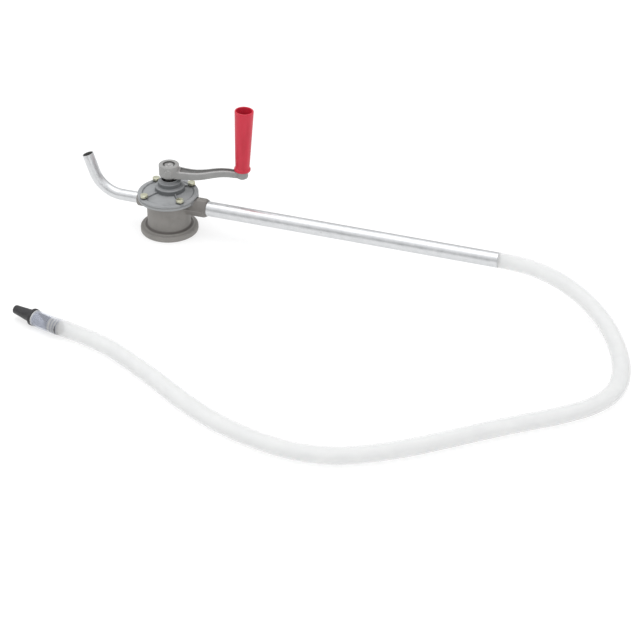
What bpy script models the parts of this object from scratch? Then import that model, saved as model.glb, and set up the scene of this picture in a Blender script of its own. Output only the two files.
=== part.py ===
"""Hand-cranked rotary vane pump with a bent spout, a straight suction tube,
a clear hose and a suction nozzle.

The origin is the centre of the base's underside, +Z points up the pump and
+X points out along the suction tube. All sizes are in metres.
"""

import math

import bmesh
import bpy
import numpy as np
from mathutils import Matrix, Vector

MM = 0.001
GAP = 0.3 * MM

# The pump's casting
BASE_RADIUS = 43 * MM
BASE_EDGE_TOP = 8.8 * MM
WALL_RADIUS = 33 * MM
FLANGE_RADIUS = 45 * MM
FLANGE_BOTTOM = 53.8 * MM
FLANGE_TOP = 58.1 * MM
CHAMBER_RADIUS = 28.5 * MM
CHAMBER_FLOOR = 11 * MM

# The shaft stands off the casting's axis, so the rotor nearly touches the bore on one side
SHAFT_X = 1.4 * MM
SHAFT_Y = 4.3 * MM
SHAFT_RADIUS = 7 * MM
JOURNAL_RADIUS = 6 * MM
SHAFT_TOP = 105.9 * MM
SHAFT_BOTTOM = 5.4 * MM

# The cover and its bolts
COVER_BOTTOM = 59.1 * MM
COVER_RIM_TOP = 62.7 * MM
COVER_PANEL_TOP = 61.2 * MM
COVER_PANEL_RISE = 64.5 * MM
SPIGOT_BOTTOM = 57.4 * MM
BOSS_FOOT_RADIUS = 21.9 * MM
BOSS_FOOT_TOP = 72.5 * MM
BOSS_RADIUS = 17.2 * MM
BOSS_SHOULDER = 79.6 * MM
BOSS_LIP_RADIUS = 12.8 * MM
BOSS_TOP = 83.3 * MM
SEAL_SEAT = 78 * MM
BUSH_SEAT = 74 * MM
BOLT_CIRCLE = 38.8 * MM
BOLT_ANGLES = [math.radians(49.6 + 90 * k) for k in range(4)]
BOLT_RADIUS = 3 * MM
BOLT_HOLE_RADIUS = 3.4 * MM
WASHER_BOTTOM = 63.1 * MM
HEAD_BOTTOM = 64.8 * MM
HEAD_TOP = 68.8 * MM
RIB_SLOPE = math.radians(12)

# The rotor and its sliding vanes
ROTOR_RADIUS = 23.5 * MM
ROTOR_BOTTOM = 11.4 * MM
ROTOR_TOP = 57.1 * MM
VANE_COUNT = 4
VANE_THICKNESS = 6 * MM
VANE_INNER = 11.4 * MM
VANE_OUTER = 23.4 * MM
SLOT_INNER = 8.6 * MM
SPRING_HEIGHT = 34 * MM

# The ports
INLET_HEIGHT = 46 * MM
INLET_BOSS_RADIUS = 14.2 * MM
INLET_BOSS_END = 60 * MM
OUTLET_HEIGHT = 44 * MM
OUTLET_BOSS_RADIUS = 11.5 * MM
OUTLET_BOSS_END = -48 * MM

# The tubes, the hose and its nozzle
SUCTION_RADIUS = 11 * MM
SUCTION_BORE = 10 * MM
SUCTION_START = 34.4 * MM
SUCTION_END = 504.6 * MM
SPOUT_RADIUS = 8.4 * MM
SPOUT_BORE = 7.2 * MM
SPOUT_START = -33.4 * MM
SPOUT_BEND_START = -75 * MM
SPOUT_BEND_RADIUS = 45 * MM
SPOUT_BEND_ANGLE = math.radians(71.5)
SPOUT_LAST_RUN = 30.2 * MM
HOSE_RADIUS = 11.5 * MM
HOSE_STEP = 30 * MM

# The crank and its grip
CRANK_ANGLE = math.radians(17)
CRANK_RADIUS = 107.7 * MM
HUB_RADIUS = 15 * MM
HUB_BOTTOM = 88.6 * MM
HUB_TOP = 107.2 * MM
HUB_RECESS = 104.6 * MM
ARM_HALF_HEIGHT = 4.9 * MM
ARM_HUB_EXTRA = 1.3 * MM
GROOVE_DEPTH = 2.7 * MM
END_BOSS_RADIUS = 8.9 * MM
END_BOSS_BOTTOM = 87 * MM
END_BOSS_TOP = 98.4 * MM
CRANK_PIN_HEIGHT = 98 * MM
GRIP_BOTTOM = 98.8 * MM
GRIP_TOP = 196.4 * MM
SPINDLE_RADIUS = 4 * MM
GRIP_LEAN = math.radians(2.8)

GRIP_X = SHAFT_X + CRANK_RADIUS * math.cos(CRANK_ANGLE)
GRIP_Y = SHAFT_Y + CRANK_RADIUS * math.sin(CRANK_ANGLE)

# The hose's route in millimetres: out of the tube, down to the floor, round and back to the nozzle
HOSE_ROUTE = [
    (504.9, 0, 46), (518, 0, 46), (541, 0, 44.4), (566, -2, 41), (590, -7, 36.4), (612, -15.5, 31.5),
    (633, -27, 26.2), (652, -41.5, 21.3), (669, -59, 17.3), (684, -79.5, 14.2), (697, -103, 12.2),
    (707.5, -128, 11.6), (715, -153, 11.6), (719.5, -178, 11.6), (719.5, -203, 11.6), (713, -229, 11.6),
    (699, -254, 11.6), (668, -286, 11.6), (626, -319, 11.6), (586, -351, 11.6), (547.5, -383.5, 11.6),
    (509, -415, 11.6), (468, -443, 11.6), (423, -465, 11.6), (374, -473, 11.6), (325, -468, 11.6),
    (276, -454, 11.6), (230, -434.5, 11.6), (186, -410.5, 11.6), (142.6, -384, 11.6),
    (98.5, -359.6, 11.6), (54, -337, 11.6), (7.5, -323.2, 11.8), (-37.5, -314.2, 12.25),
    (-53, -310.9, 12.25), (-68.6, -306.2, 12.25),
]
NOZZLE_LENGTH = 37.5 * MM
NOZZLE_CLEARANCE = 0.8 * MM
NOZZLE_HEIGHT = 12.25 * MM


def clear_scene():
    for thing in list(bpy.data.objects):
        bpy.data.objects.remove(thing, do_unlink=True)


def new_collection(name):
    collection = bpy.data.collections.new(name)
    bpy.context.scene.collection.children.link(collection)
    return collection


clear_scene()
PARTS = new_collection("rotary_hand_pump")
CUTTERS = new_collection("cutters")


def material(name, colour, roughness, metallic=0.0, alpha=1.0):
    mat = bpy.data.materials.new(name)
    mat.use_nodes = True
    shader = mat.node_tree.nodes["Principled BSDF"]
    shader.inputs["Base Color"].default_value = (*colour, 1.0)
    shader.inputs["Roughness"].default_value = roughness
    shader.inputs["Metallic"].default_value = metallic
    shader.inputs["Alpha"].default_value = alpha
    return mat


PAINT = material("grey_paint", (0.23, 0.22, 0.20), 0.5, 0.3)
COVER_PAINT = material("cover_paint", (0.34, 0.36, 0.37), 0.45, 0.4)
CAST_GREY = material("cast_crank", (0.30, 0.30, 0.29), 0.45, 0.6)
BARE_ALUMINIUM = material("bare_aluminium", (0.72, 0.73, 0.75), 0.35, 1.0)
ZINC = material("yellow_zinc", (0.62, 0.60, 0.45), 0.35, 1.0)
STEEL = material("bright_steel", (0.50, 0.50, 0.51), 0.35, 1.0)
IRON = material("cast_iron", (0.20, 0.20, 0.20), 0.6, 0.8)
BRASS = material("bush_brass", (0.72, 0.52, 0.22), 0.35, 1.0)
RED_PLASTIC = material("red_plastic", (0.52, 0.05, 0.08), 0.35)
BLACK_PLASTIC = material("black_plastic", (0.03, 0.03, 0.035), 0.45)
RUBBER = material("black_rubber", (0.03, 0.03, 0.03), 0.8)
FIBRE = material("gasket_fibre", (0.25, 0.22, 0.17), 0.9)
VANE_PLASTIC = material("vane_plastic", (0.10, 0.09, 0.08), 0.5)
CLEAR_PVC = material("clear_hose", (0.85, 0.86, 0.87), 0.3, 0.0, 0.6)


def add_object(name, mesh, mat, collection=None):
    thing = bpy.data.objects.new(name, mesh)
    (collection or PARTS).objects.link(thing)
    if mat is not None:
        mesh.materials.append(mat)
    if collection is CUTTERS:
        thing.hide_render = True
        thing.display_type = "WIRE"
    return thing


def turned(name, profile, mat=None, centre=(0.0, 0.0), steps=40, ring=False, collection=None):
    """Turn a profile of (radius, height) points, listed down its outer side, about a vertical axis."""
    mesh = bpy.data.meshes.new(name)
    edges = [(k, k + 1) for k in range(len(profile) - 1)]
    if ring:
        edges.append((len(profile) - 1, 0))
    mesh.from_pydata([(r, 0.0, z) for r, z in profile], edges, [])
    thing = add_object(name, mesh, mat, collection)
    thing.location = (centre[0], centre[1], 0.0)
    screw = thing.modifiers.new("turn", "SCREW")
    screw.axis = "Z"
    screw.steps = steps
    screw.render_steps = steps
    screw.use_merge_vertices = True
    screw.merge_threshold = 0.00005
    screw.use_smooth_shade = True
    return thing


def disc_profile(radius, bottom, top, edge=0.0):
    """The outer side of a plain round disc, with an optional chamfer at both rims."""
    if edge == 0.0:
        return [(0, top), (radius, top), (radius, bottom), (0, bottom)]
    return [(0, top), (radius - edge, top), (radius, top - edge),
            (radius, bottom + edge), (radius - edge, bottom), (0, bottom)]


def ring_profile(outer, inner, bottom, top):
    return [(outer, top), (outer, bottom), (inner, bottom), (inner, top)]


def rod(name, start, end, radius, mat=None, sides=28, collection=None):
    """A round bar between two points."""
    start, end = Vector(start), Vector(end)
    mesh = bpy.data.meshes.new(name)
    shape = bmesh.new()
    bmesh.ops.create_cone(shape, cap_ends=True, segments=sides, radius1=radius, radius2=radius,
                          depth=(end - start).length)
    shape.to_mesh(mesh)
    shape.free()
    thing = add_object(name, mesh, mat, collection)
    thing.location = (start + end) / 2
    thing.rotation_euler = (end - start).to_track_quat("Z", "Y").to_euler()
    return thing


def block(name, centre, size, turn=0.0, tilt=0.0, mat=None, collection=None):
    """A box turned about the vertical, and tilted down along its length."""
    mesh = bpy.data.meshes.new(name)
    shape = bmesh.new()
    bmesh.ops.create_cube(shape, size=1.0)
    bmesh.ops.scale(shape, vec=size, verts=shape.verts)
    shape.to_mesh(mesh)
    shape.free()
    thing = add_object(name, mesh, mat, collection)
    thing.location = centre
    thing.rotation_euler = (0.0, tilt, turn)
    return thing


def combine(target, tool, operation):
    step = target.modifiers.new(operation.lower(), "BOOLEAN")
    step.operation = operation
    step.object = tool
    return target


def cut(target, tool):
    return combine(target, tool, "DIFFERENCE")


def join(target, tool):
    return combine(target, tool, "UNION")


def bevel(thing, width, segments=2, angle=40):
    edge = thing.modifiers.new("edges", "BEVEL")
    edge.width = width
    edge.segments = segments
    edge.limit_method = "ANGLE"
    edge.angle_limit = math.radians(angle)


def as_mesh(curve_object, mat=None, collection=None):
    """Replace a curve with a closed mesh object in the same place."""
    bpy.context.view_layer.update()
    graph = bpy.context.evaluated_depsgraph_get()
    mesh = bpy.data.meshes.new_from_object(curve_object.evaluated_get(graph))
    shape = bmesh.new()
    shape.from_mesh(mesh)
    bmesh.ops.remove_doubles(shape, verts=shape.verts, dist=0.00002)
    bmesh.ops.recalc_face_normals(shape, faces=shape.faces)
    shape.to_mesh(mesh)
    shape.free()
    mesh.materials.clear()
    name = curve_object.name
    place = curve_object.matrix_world.copy()
    bpy.data.objects.remove(curve_object, do_unlink=True)
    thing = add_object(name, mesh, mat, collection)
    thing.matrix_world = place
    return thing


def wire(name, points, radius, sides_level, mat=None, collection=None):
    """A round tube or wire along a list of points, as a curve object."""
    curve = bpy.data.curves.new(name, "CURVE")
    curve.dimensions = "3D"
    curve.bevel_depth = radius
    curve.bevel_resolution = sides_level
    curve.use_fill_caps = True
    spline = curve.splines.new("POLY")
    spline.points.add(len(points) - 1)
    for point, place in zip(spline.points, points):
        point.co = (*place, 1.0)
    return add_object(name, curve, mat, collection)


def plate(name, outline, thickness, place):
    """A flat outline with a thickness, placed by a matrix, as a guide for the arm."""
    curve = bpy.data.curves.new(name, "CURVE")
    curve.dimensions = "2D"
    curve.fill_mode = "BOTH"
    curve.extrude = thickness / 2
    spline = curve.splines.new("POLY")
    spline.points.add(len(outline) - 1)
    for point, (x, y) in zip(spline.points, outline):
        point.co = (x, y, 0.0, 1.0)
    spline.use_cyclic_u = True
    thing = add_object(name, curve, None, CUTTERS)
    thing.matrix_world = place
    return as_mesh(thing, None, CUTTERS)


def smooth_path(knots, spacing):
    """Points at an even spacing along a smooth curve through the knots."""
    knots = np.array(knots, dtype=float)
    lengths = np.linalg.norm(np.diff(knots, axis=0), axis=1)
    times = np.concatenate([[0.0], np.cumsum(lengths)])
    slopes = np.gradient(knots, times, axis=0)
    fine = []
    for k, length in enumerate(lengths):
        t = np.linspace(0.0, 1.0, 24, endpoint=False)[:, None]
        fine.append((2 * t**3 - 3 * t**2 + 1) * knots[k] + (t**3 - 2 * t**2 + t) * length * slopes[k]
                    + (3 * t**2 - 2 * t**3) * knots[k + 1] + (t**3 - t**2) * length * slopes[k + 1])
    fine = np.vstack(fine + [knots[-1:]])
    along = np.concatenate([[0.0], np.cumsum(np.linalg.norm(np.diff(fine, axis=0), axis=1))])
    count = int(round(along[-1] / spacing)) + 1
    marks = np.linspace(0.0, along[-1], count)
    return [tuple(np.interp(mark, along, fine[:, axis]) for axis in range(knots.shape[1])) for mark in marks]


def around(radius, angle, height, centre=(0.0, 0.0)):
    return Vector((centre[0] + radius * math.cos(angle), centre[1] + radius * math.sin(angle), height))


SHAFT = (SHAFT_X, SHAFT_Y)
GRIP = (GRIP_X, GRIP_Y)


def lean(thing):
    """Lean a thing on the grip's axis out along the arm, as the worn spindle does."""
    foot = Matrix.Translation((GRIP_X, GRIP_Y, END_BOSS_TOP))
    outward = Vector((-math.sin(CRANK_ANGLE), math.cos(CRANK_ANGLE), 0.0))
    turn = Matrix.Rotation(GRIP_LEAN, 4, outward)
    thing.matrix_world = foot @ turn @ foot.inverted() @ Matrix.Translation(thing.location)
    return thing


def bolt_holes(target, prefix):
    for number, angle in enumerate(BOLT_ANGLES, 1):
        hole = rod(f"{prefix}_hole_{number}", around(BOLT_CIRCLE, angle, 50 * MM),
                   around(BOLT_CIRCLE, angle, 68 * MM), BOLT_HOLE_RADIUS, sides=16, collection=CUTTERS)
        cut(target, hole)


def make_body():
    """The casting: a wide foot, the chamber's wall, the top flange and two tube sockets."""
    profile = [(0, FLANGE_TOP), (FLANGE_RADIUS - 0.5 * MM, FLANGE_TOP), (FLANGE_RADIUS, FLANGE_TOP - 0.5 * MM),
               (FLANGE_RADIUS, FLANGE_BOTTOM + 0.6 * MM), (FLANGE_RADIUS - 0.6 * MM, FLANGE_BOTTOM),
               (WALL_RADIUS + 1.5 * MM, FLANGE_BOTTOM), (WALL_RADIUS, FLANGE_BOTTOM - 1.6 * MM),
               (WALL_RADIUS - 0.8 * MM, 15 * MM), (WALL_RADIUS, 12.2 * MM), (WALL_RADIUS + 1.4 * MM, 10.6 * MM),
               (36.4 * MM, 10.4 * MM), (37.2 * MM, BASE_EDGE_TOP), (41 * MM, BASE_EDGE_TOP - 0.2 * MM),
               (42.6 * MM, BASE_EDGE_TOP - 1 * MM), (BASE_RADIUS, BASE_EDGE_TOP - 2.4 * MM),
               (BASE_RADIUS, 0.6 * MM),
               (BASE_RADIUS - 0.6 * MM, 0), (0, 0)]
    body = turned("pump_body", profile, PAINT)
    room_for_cover = turned("cover_room", disc_profile(FLANGE_RADIUS + 0.5 * MM, 57 * MM, 75 * MM),
                            collection=CUTTERS)
    inlet = rod("inlet_boss", (24 * MM, 0, INLET_HEIGHT), (INLET_BOSS_END, 0, INLET_HEIGHT),
                INLET_BOSS_RADIUS, collection=CUTTERS)
    bevel(inlet, 1.2 * MM)
    cut(inlet, room_for_cover)
    outlet = rod("outlet_boss", (OUTLET_BOSS_END, 0, OUTLET_HEIGHT), (-24 * MM, 0, OUTLET_HEIGHT),
                 OUTLET_BOSS_RADIUS, collection=CUTTERS)
    bevel(outlet, 2.2 * MM, 3)
    join(body, inlet)
    join(body, outlet)
    cut(body, turned("chamber_bore", disc_profile(CHAMBER_RADIUS, CHAMBER_FLOOR, 70 * MM), steps=40,
                     collection=CUTTERS))
    cut(body, turned("journal_pocket", disc_profile(9.3 * MM, 4.5 * MM, 20 * MM), centre=SHAFT, steps=32,
                     collection=CUTTERS))
    cut(body, rod("inlet_socket", (34 * MM, 0, INLET_HEIGHT), (70 * MM, 0, INLET_HEIGHT),
                  SUCTION_RADIUS + GAP, collection=CUTTERS))
    cut(body, rod("inlet_port", (15 * MM, 0, INLET_HEIGHT), (40 * MM, 0, INLET_HEIGHT), 9 * MM,
                  collection=CUTTERS))
    cut(body, rod("outlet_socket", (-33 * MM, 0, OUTLET_HEIGHT), (-60 * MM, 0, OUTLET_HEIGHT),
                  SPOUT_RADIUS + GAP, collection=CUTTERS))
    cut(body, rod("outlet_port", (-15 * MM, 0, OUTLET_HEIGHT), (-40 * MM, 0, OUTLET_HEIGHT), 6.2 * MM,
                  collection=CUTTERS))
    bolt_holes(body, "body")


def make_cover():
    """The cover: a rimmed plate with a spigot, thin ribs and the stepped boss that carries the shaft."""
    profile = [(0, COVER_PANEL_RISE), (BOSS_FOOT_RADIUS, COVER_PANEL_RISE), (38.2 * MM, COVER_PANEL_TOP),
               (38.9 * MM, COVER_RIM_TOP),
               (FLANGE_RADIUS - 0.6 * MM, COVER_RIM_TOP), (FLANGE_RADIUS, COVER_RIM_TOP - 0.6 * MM),
               (FLANGE_RADIUS, COVER_BOTTOM), (CHAMBER_RADIUS - 0.5 * MM, COVER_BOTTOM),
               (CHAMBER_RADIUS - 0.5 * MM, SPIGOT_BOTTOM), (0, SPIGOT_BOTTOM)]
    cover = turned("cover", profile, COVER_PAINT)
    boss = turned("cover_boss", [(0, BOSS_TOP), (BOSS_LIP_RADIUS - 0.4 * MM, BOSS_TOP),
                                 (BOSS_LIP_RADIUS, BOSS_TOP - 0.4 * MM),
                                 (BOSS_LIP_RADIUS, BOSS_SHOULDER + 1.6 * MM),
                                 (BOSS_RADIUS - 0.8 * MM, BOSS_SHOULDER + 0.6 * MM),
                                 (BOSS_RADIUS, BOSS_SHOULDER - 0.2 * MM),
                                 (BOSS_RADIUS, BOSS_FOOT_TOP + 0.4 * MM),
                                 (BOSS_FOOT_RADIUS - 0.9 * MM, BOSS_FOOT_TOP),
                                 (BOSS_FOOT_RADIUS, BOSS_FOOT_TOP - 0.9 * MM),
                                 (BOSS_FOOT_RADIUS, 58.5 * MM), (0, 58.5 * MM)],
                  centre=SHAFT, steps=32, collection=CUTTERS)
    join(cover, boss)
    for number, angle in enumerate(BOLT_ANGLES, 1):
        bolt = around(BOLT_CIRCLE, angle, 0.0)
        pad = turned(f"bolt_pad_{number}", disc_profile(6 * MM, 59.6 * MM, COVER_RIM_TOP + 0.1 * MM),
                     centre=bolt.xy, steps=24, collection=CUTTERS)
        join(cover, pad)
        run = bolt.xy - Vector(SHAFT)
        outward = run.normalized()
        start, end = BOSS_FOOT_RADIUS - 2 * MM, run.length - 6.6 * MM
        middle = Vector(SHAFT) + outward * (start + end) / 2
        rib = block(f"cover_rib_{number}", (middle.x, middle.y, 63.3 * MM),
                    (end - start, 1.6 * MM, 3 * MM), math.atan2(outward.y, outward.x), RIB_SLOPE,
                    collection=CUTTERS)
        join(cover, rib)
    bores = [(0, 90 * MM), (11.4 * MM, 90 * MM), (11.4 * MM, SEAL_SEAT), (7.6 * MM, SEAL_SEAT),
             (7.6 * MM, BUSH_SEAT), (9.3 * MM, BUSH_SEAT), (9.3 * MM, 50 * MM), (0, 50 * MM)]
    cut(cover, turned("cover_bores", bores, centre=SHAFT, steps=24, collection=CUTTERS))
    bolt_holes(cover, "cover")


def make_seals_and_bushes():
    """The gasket under the cover, the shaft's lip seal and the two brass bushes."""
    gasket = turned("cover_gasket", ring_profile(44.7 * MM, 28.8 * MM, 58.4 * MM, 58.8 * MM), FIBRE,
                    steps=40, ring=True)
    bolt_holes(gasket, "gasket")
    turned("shaft_seal", ring_profile(11.1 * MM, 7.3 * MM, SEAL_SEAT + GAP, SEAL_SEAT + 2.6 * MM), RUBBER,
           SHAFT, 24, True)
    turned("upper_bush", ring_profile(9 * MM, 7.3 * MM, 57.8 * MM, BUSH_SEAT - GAP), BRASS, SHAFT, 24, True)
    turned("lower_bush", ring_profile(9 * MM, 6.3 * MM, 4.8 * MM, 10.9 * MM), BRASS, SHAFT, 24, True)


def make_bolts():
    """Four hexagon-headed bolts, each over a split spring washer."""
    for number, angle in enumerate(BOLT_ANGLES, 1):
        place = around(BOLT_CIRCLE, angle, 0.0)
        centre = (place.x, place.y)
        washer = turned(f"spring_washer_{number}",
                        ring_profile(5.2 * MM, 3.5 * MM, WASHER_BOTTOM, HEAD_BOTTOM - GAP), ZINC, centre, 20, True)
        split = around(4.3 * MM, angle, WASHER_BOTTOM + 0.7 * MM, centre)
        cut(washer, block(f"washer_split_{number}", split, (4 * MM, 0.8 * MM, 4 * MM), angle + 0.4,
                          collection=CUTTERS))
        bolt = turned(f"cover_bolt_{number}",
                      disc_profile(BOLT_RADIUS, 54.2 * MM, HEAD_BOTTOM + 1 * MM, 0.5 * MM), ZINC, centre, 16)
        head = rod(f"bolt_head_{number}", (*centre, HEAD_BOTTOM), (*centre, HEAD_TOP), 6.1 * MM, sides=6,
                   collection=CUTTERS)
        bevel(head, 0.5 * MM, 1, 80)
        join(bolt, head)


def make_rotor():
    """The shaft, the slotted rotor pinned to it, and the spring-loaded vanes in its slots."""
    shaft = turned("shaft", [(0, SHAFT_TOP), (SHAFT_RADIUS - 0.6 * MM, SHAFT_TOP),
                             (SHAFT_RADIUS, SHAFT_TOP - 0.6 * MM), (SHAFT_RADIUS, ROTOR_TOP + 0.4 * MM),
                             (JOURNAL_RADIUS, ROTOR_TOP + 0.4 * MM), (JOURNAL_RADIUS, SHAFT_BOTTOM + 0.6 * MM),
                             (JOURNAL_RADIUS - 0.6 * MM, SHAFT_BOTTOM), (0, SHAFT_BOTTOM)],
                   STEEL, SHAFT, 24)
    rotor = turned("rotor", disc_profile(ROTOR_RADIUS, ROTOR_BOTTOM, ROTOR_TOP), IRON, SHAFT, 40)
    cut(rotor, turned("rotor_bore", disc_profile(JOURNAL_RADIUS + GAP, 5 * MM, 65 * MM), centre=SHAFT,
                      steps=32, collection=CUTTERS))
    for number in range(1, VANE_COUNT + 1):
        angle = CRANK_ANGLE + 2 * math.pi * (number - 1) / VANE_COUNT
        slot_centre = around((SLOT_INNER + 28 * MM) / 2, angle, 34 * MM, SHAFT)
        cut(rotor, block(f"vane_slot_{number}", slot_centre,
                         (28 * MM - SLOT_INNER, VANE_THICKNESS + 2 * GAP, 60 * MM), angle,
                         collection=CUTTERS))
        vane_centre = around((VANE_INNER + VANE_OUTER) / 2, angle, (ROTOR_BOTTOM + ROTOR_TOP) / 2, SHAFT)
        vane = block(f"vane_{number}", vane_centre,
                     (VANE_OUTER - VANE_INNER, VANE_THICKNESS, ROTOR_TOP - ROTOR_BOTTOM - 0.4 * MM), angle,
                     mat=VANE_PLASTIC)
        bevel(vane, 0.6 * MM, 1)
        cut(vane, rod(f"spring_pocket_{number}", around(VANE_INNER - 2 * MM, angle, SPRING_HEIGHT, SHAFT),
                      around(VANE_INNER + 7 * MM, angle, SPRING_HEIGHT, SHAFT), 2.2 * MM, sides=16,
                      collection=CUTTERS))
        make_vane_spring(number, angle)
    pin_angle = CRANK_ANGLE + math.pi / VANE_COUNT
    pin_ends = [around(reach, pin_angle, 22 * MM, SHAFT) for reach in (-30 * MM, 30 * MM)]
    cut(rotor, rod("rotor_pin_hole", *pin_ends, 2 * MM + GAP, sides=16, collection=CUTTERS))
    cut(shaft, rod("shaft_pin_hole", *pin_ends, 2 * MM + GAP, sides=16, collection=CUTTERS))
    rod("rotor_pin", around(-22 * MM, pin_angle, 22 * MM, SHAFT), around(22 * MM, pin_angle, 22 * MM, SHAFT),
        2 * MM, STEEL, 16)
    hub_pin_angle = CRANK_ANGLE + math.pi / 2
    hub_pin_ends = [around(reach, hub_pin_angle, CRANK_PIN_HEIGHT, SHAFT) for reach in (-25 * MM, 25 * MM)]
    cut(shaft, rod("shaft_hub_pin_hole", *hub_pin_ends, 2.5 * MM + GAP, sides=16, collection=CUTTERS))


def make_vane_spring(number, angle):
    """A short coil spring that lies along its vane's slot, with its outer end in the vane's pocket."""
    turns, points_a_turn = 3, 7
    start, end = 9.3 * MM, 15.4 * MM
    coil = []
    for k in range(turns * points_a_turn + 1):
        swing = 2 * math.pi * k / points_a_turn
        along = start + (end - start) * k / (turns * points_a_turn)
        side = 1.3 * MM * math.cos(swing)
        centre = around(along, angle, SPRING_HEIGHT + 1.3 * MM * math.sin(swing), SHAFT)
        coil.append(centre + Vector((-math.sin(angle), math.cos(angle), 0.0)) * side)
    wire(f"vane_spring_{number}", coil, 0.32 * MM, 0, STEEL)


def make_tubes():
    """The straight suction tube and the spout, which bends up from the outlet."""
    tube = rod("suction_tube", (SUCTION_START, 0, INLET_HEIGHT), (SUCTION_END, 0, INLET_HEIGHT),
               SUCTION_RADIUS, BARE_ALUMINIUM)
    cut(tube, rod("suction_bore", (SUCTION_START - 5 * MM, 0, INLET_HEIGHT),
                  (SUCTION_END + 5 * MM, 0, INLET_HEIGHT), SUCTION_BORE, collection=CUTTERS))

    def spout_points(extra):
        points = [(SPOUT_START + extra, 0.0, OUTLET_HEIGHT)]
        bend_steps = 10
        for k in range(bend_steps + 1):
            turn = SPOUT_BEND_ANGLE * k / bend_steps
            points.append((SPOUT_BEND_START - SPOUT_BEND_RADIUS * math.sin(turn), 0.0,
                           OUTLET_HEIGHT + SPOUT_BEND_RADIUS * (1 - math.cos(turn))))
        last = points[-1]
        run = SPOUT_LAST_RUN + extra
        points.append((last[0] - run * math.cos(SPOUT_BEND_ANGLE), 0.0,
                       last[2] + run * math.sin(SPOUT_BEND_ANGLE)))
        return points

    spout = as_mesh(wire("spout_tube", spout_points(0.0), SPOUT_RADIUS, 3), BARE_ALUMINIUM)
    bore = as_mesh(wire("spout_bore", spout_points(4 * MM), SPOUT_BORE, 3), None, CUTTERS)
    cut(spout, bore)


def make_hose():
    """The clear hose and, in line with its far end, the tapered suction nozzle."""
    route = [(x * MM, y * MM, z * MM) for x, y, z in HOSE_ROUTE]
    path = route[:1] + smooth_path(route[1:], HOSE_STEP)
    wire("hose", path, HOSE_RADIUS, 3, CLEAR_PVC)
    end = Vector(path[-1])
    before = Vector(route[-2])
    heading = Vector((end.x - before.x, end.y - before.y, 0.0)).normalized()
    nozzle = turned("nozzle", [(5.4 * MM, NOZZLE_LENGTH), (6.1 * MM, NOZZLE_LENGTH - 0.8 * MM),
                               (9.2 * MM, 6 * MM), (11.4 * MM, 5 * MM), (12.1 * MM, 4.2 * MM),
                               (12.1 * MM, 0.8 * MM), (11.4 * MM, 0), (3.2 * MM, 0),
                               (3.2 * MM, NOZZLE_LENGTH)], BLACK_PLASTIC, steps=24, ring=True)
    nozzle.location = end + heading * NOZZLE_CLEARANCE
    nozzle.location.z = NOZZLE_HEIGHT
    nozzle.rotation_euler = heading.to_track_quat("Z", "Y").to_euler()


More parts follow.
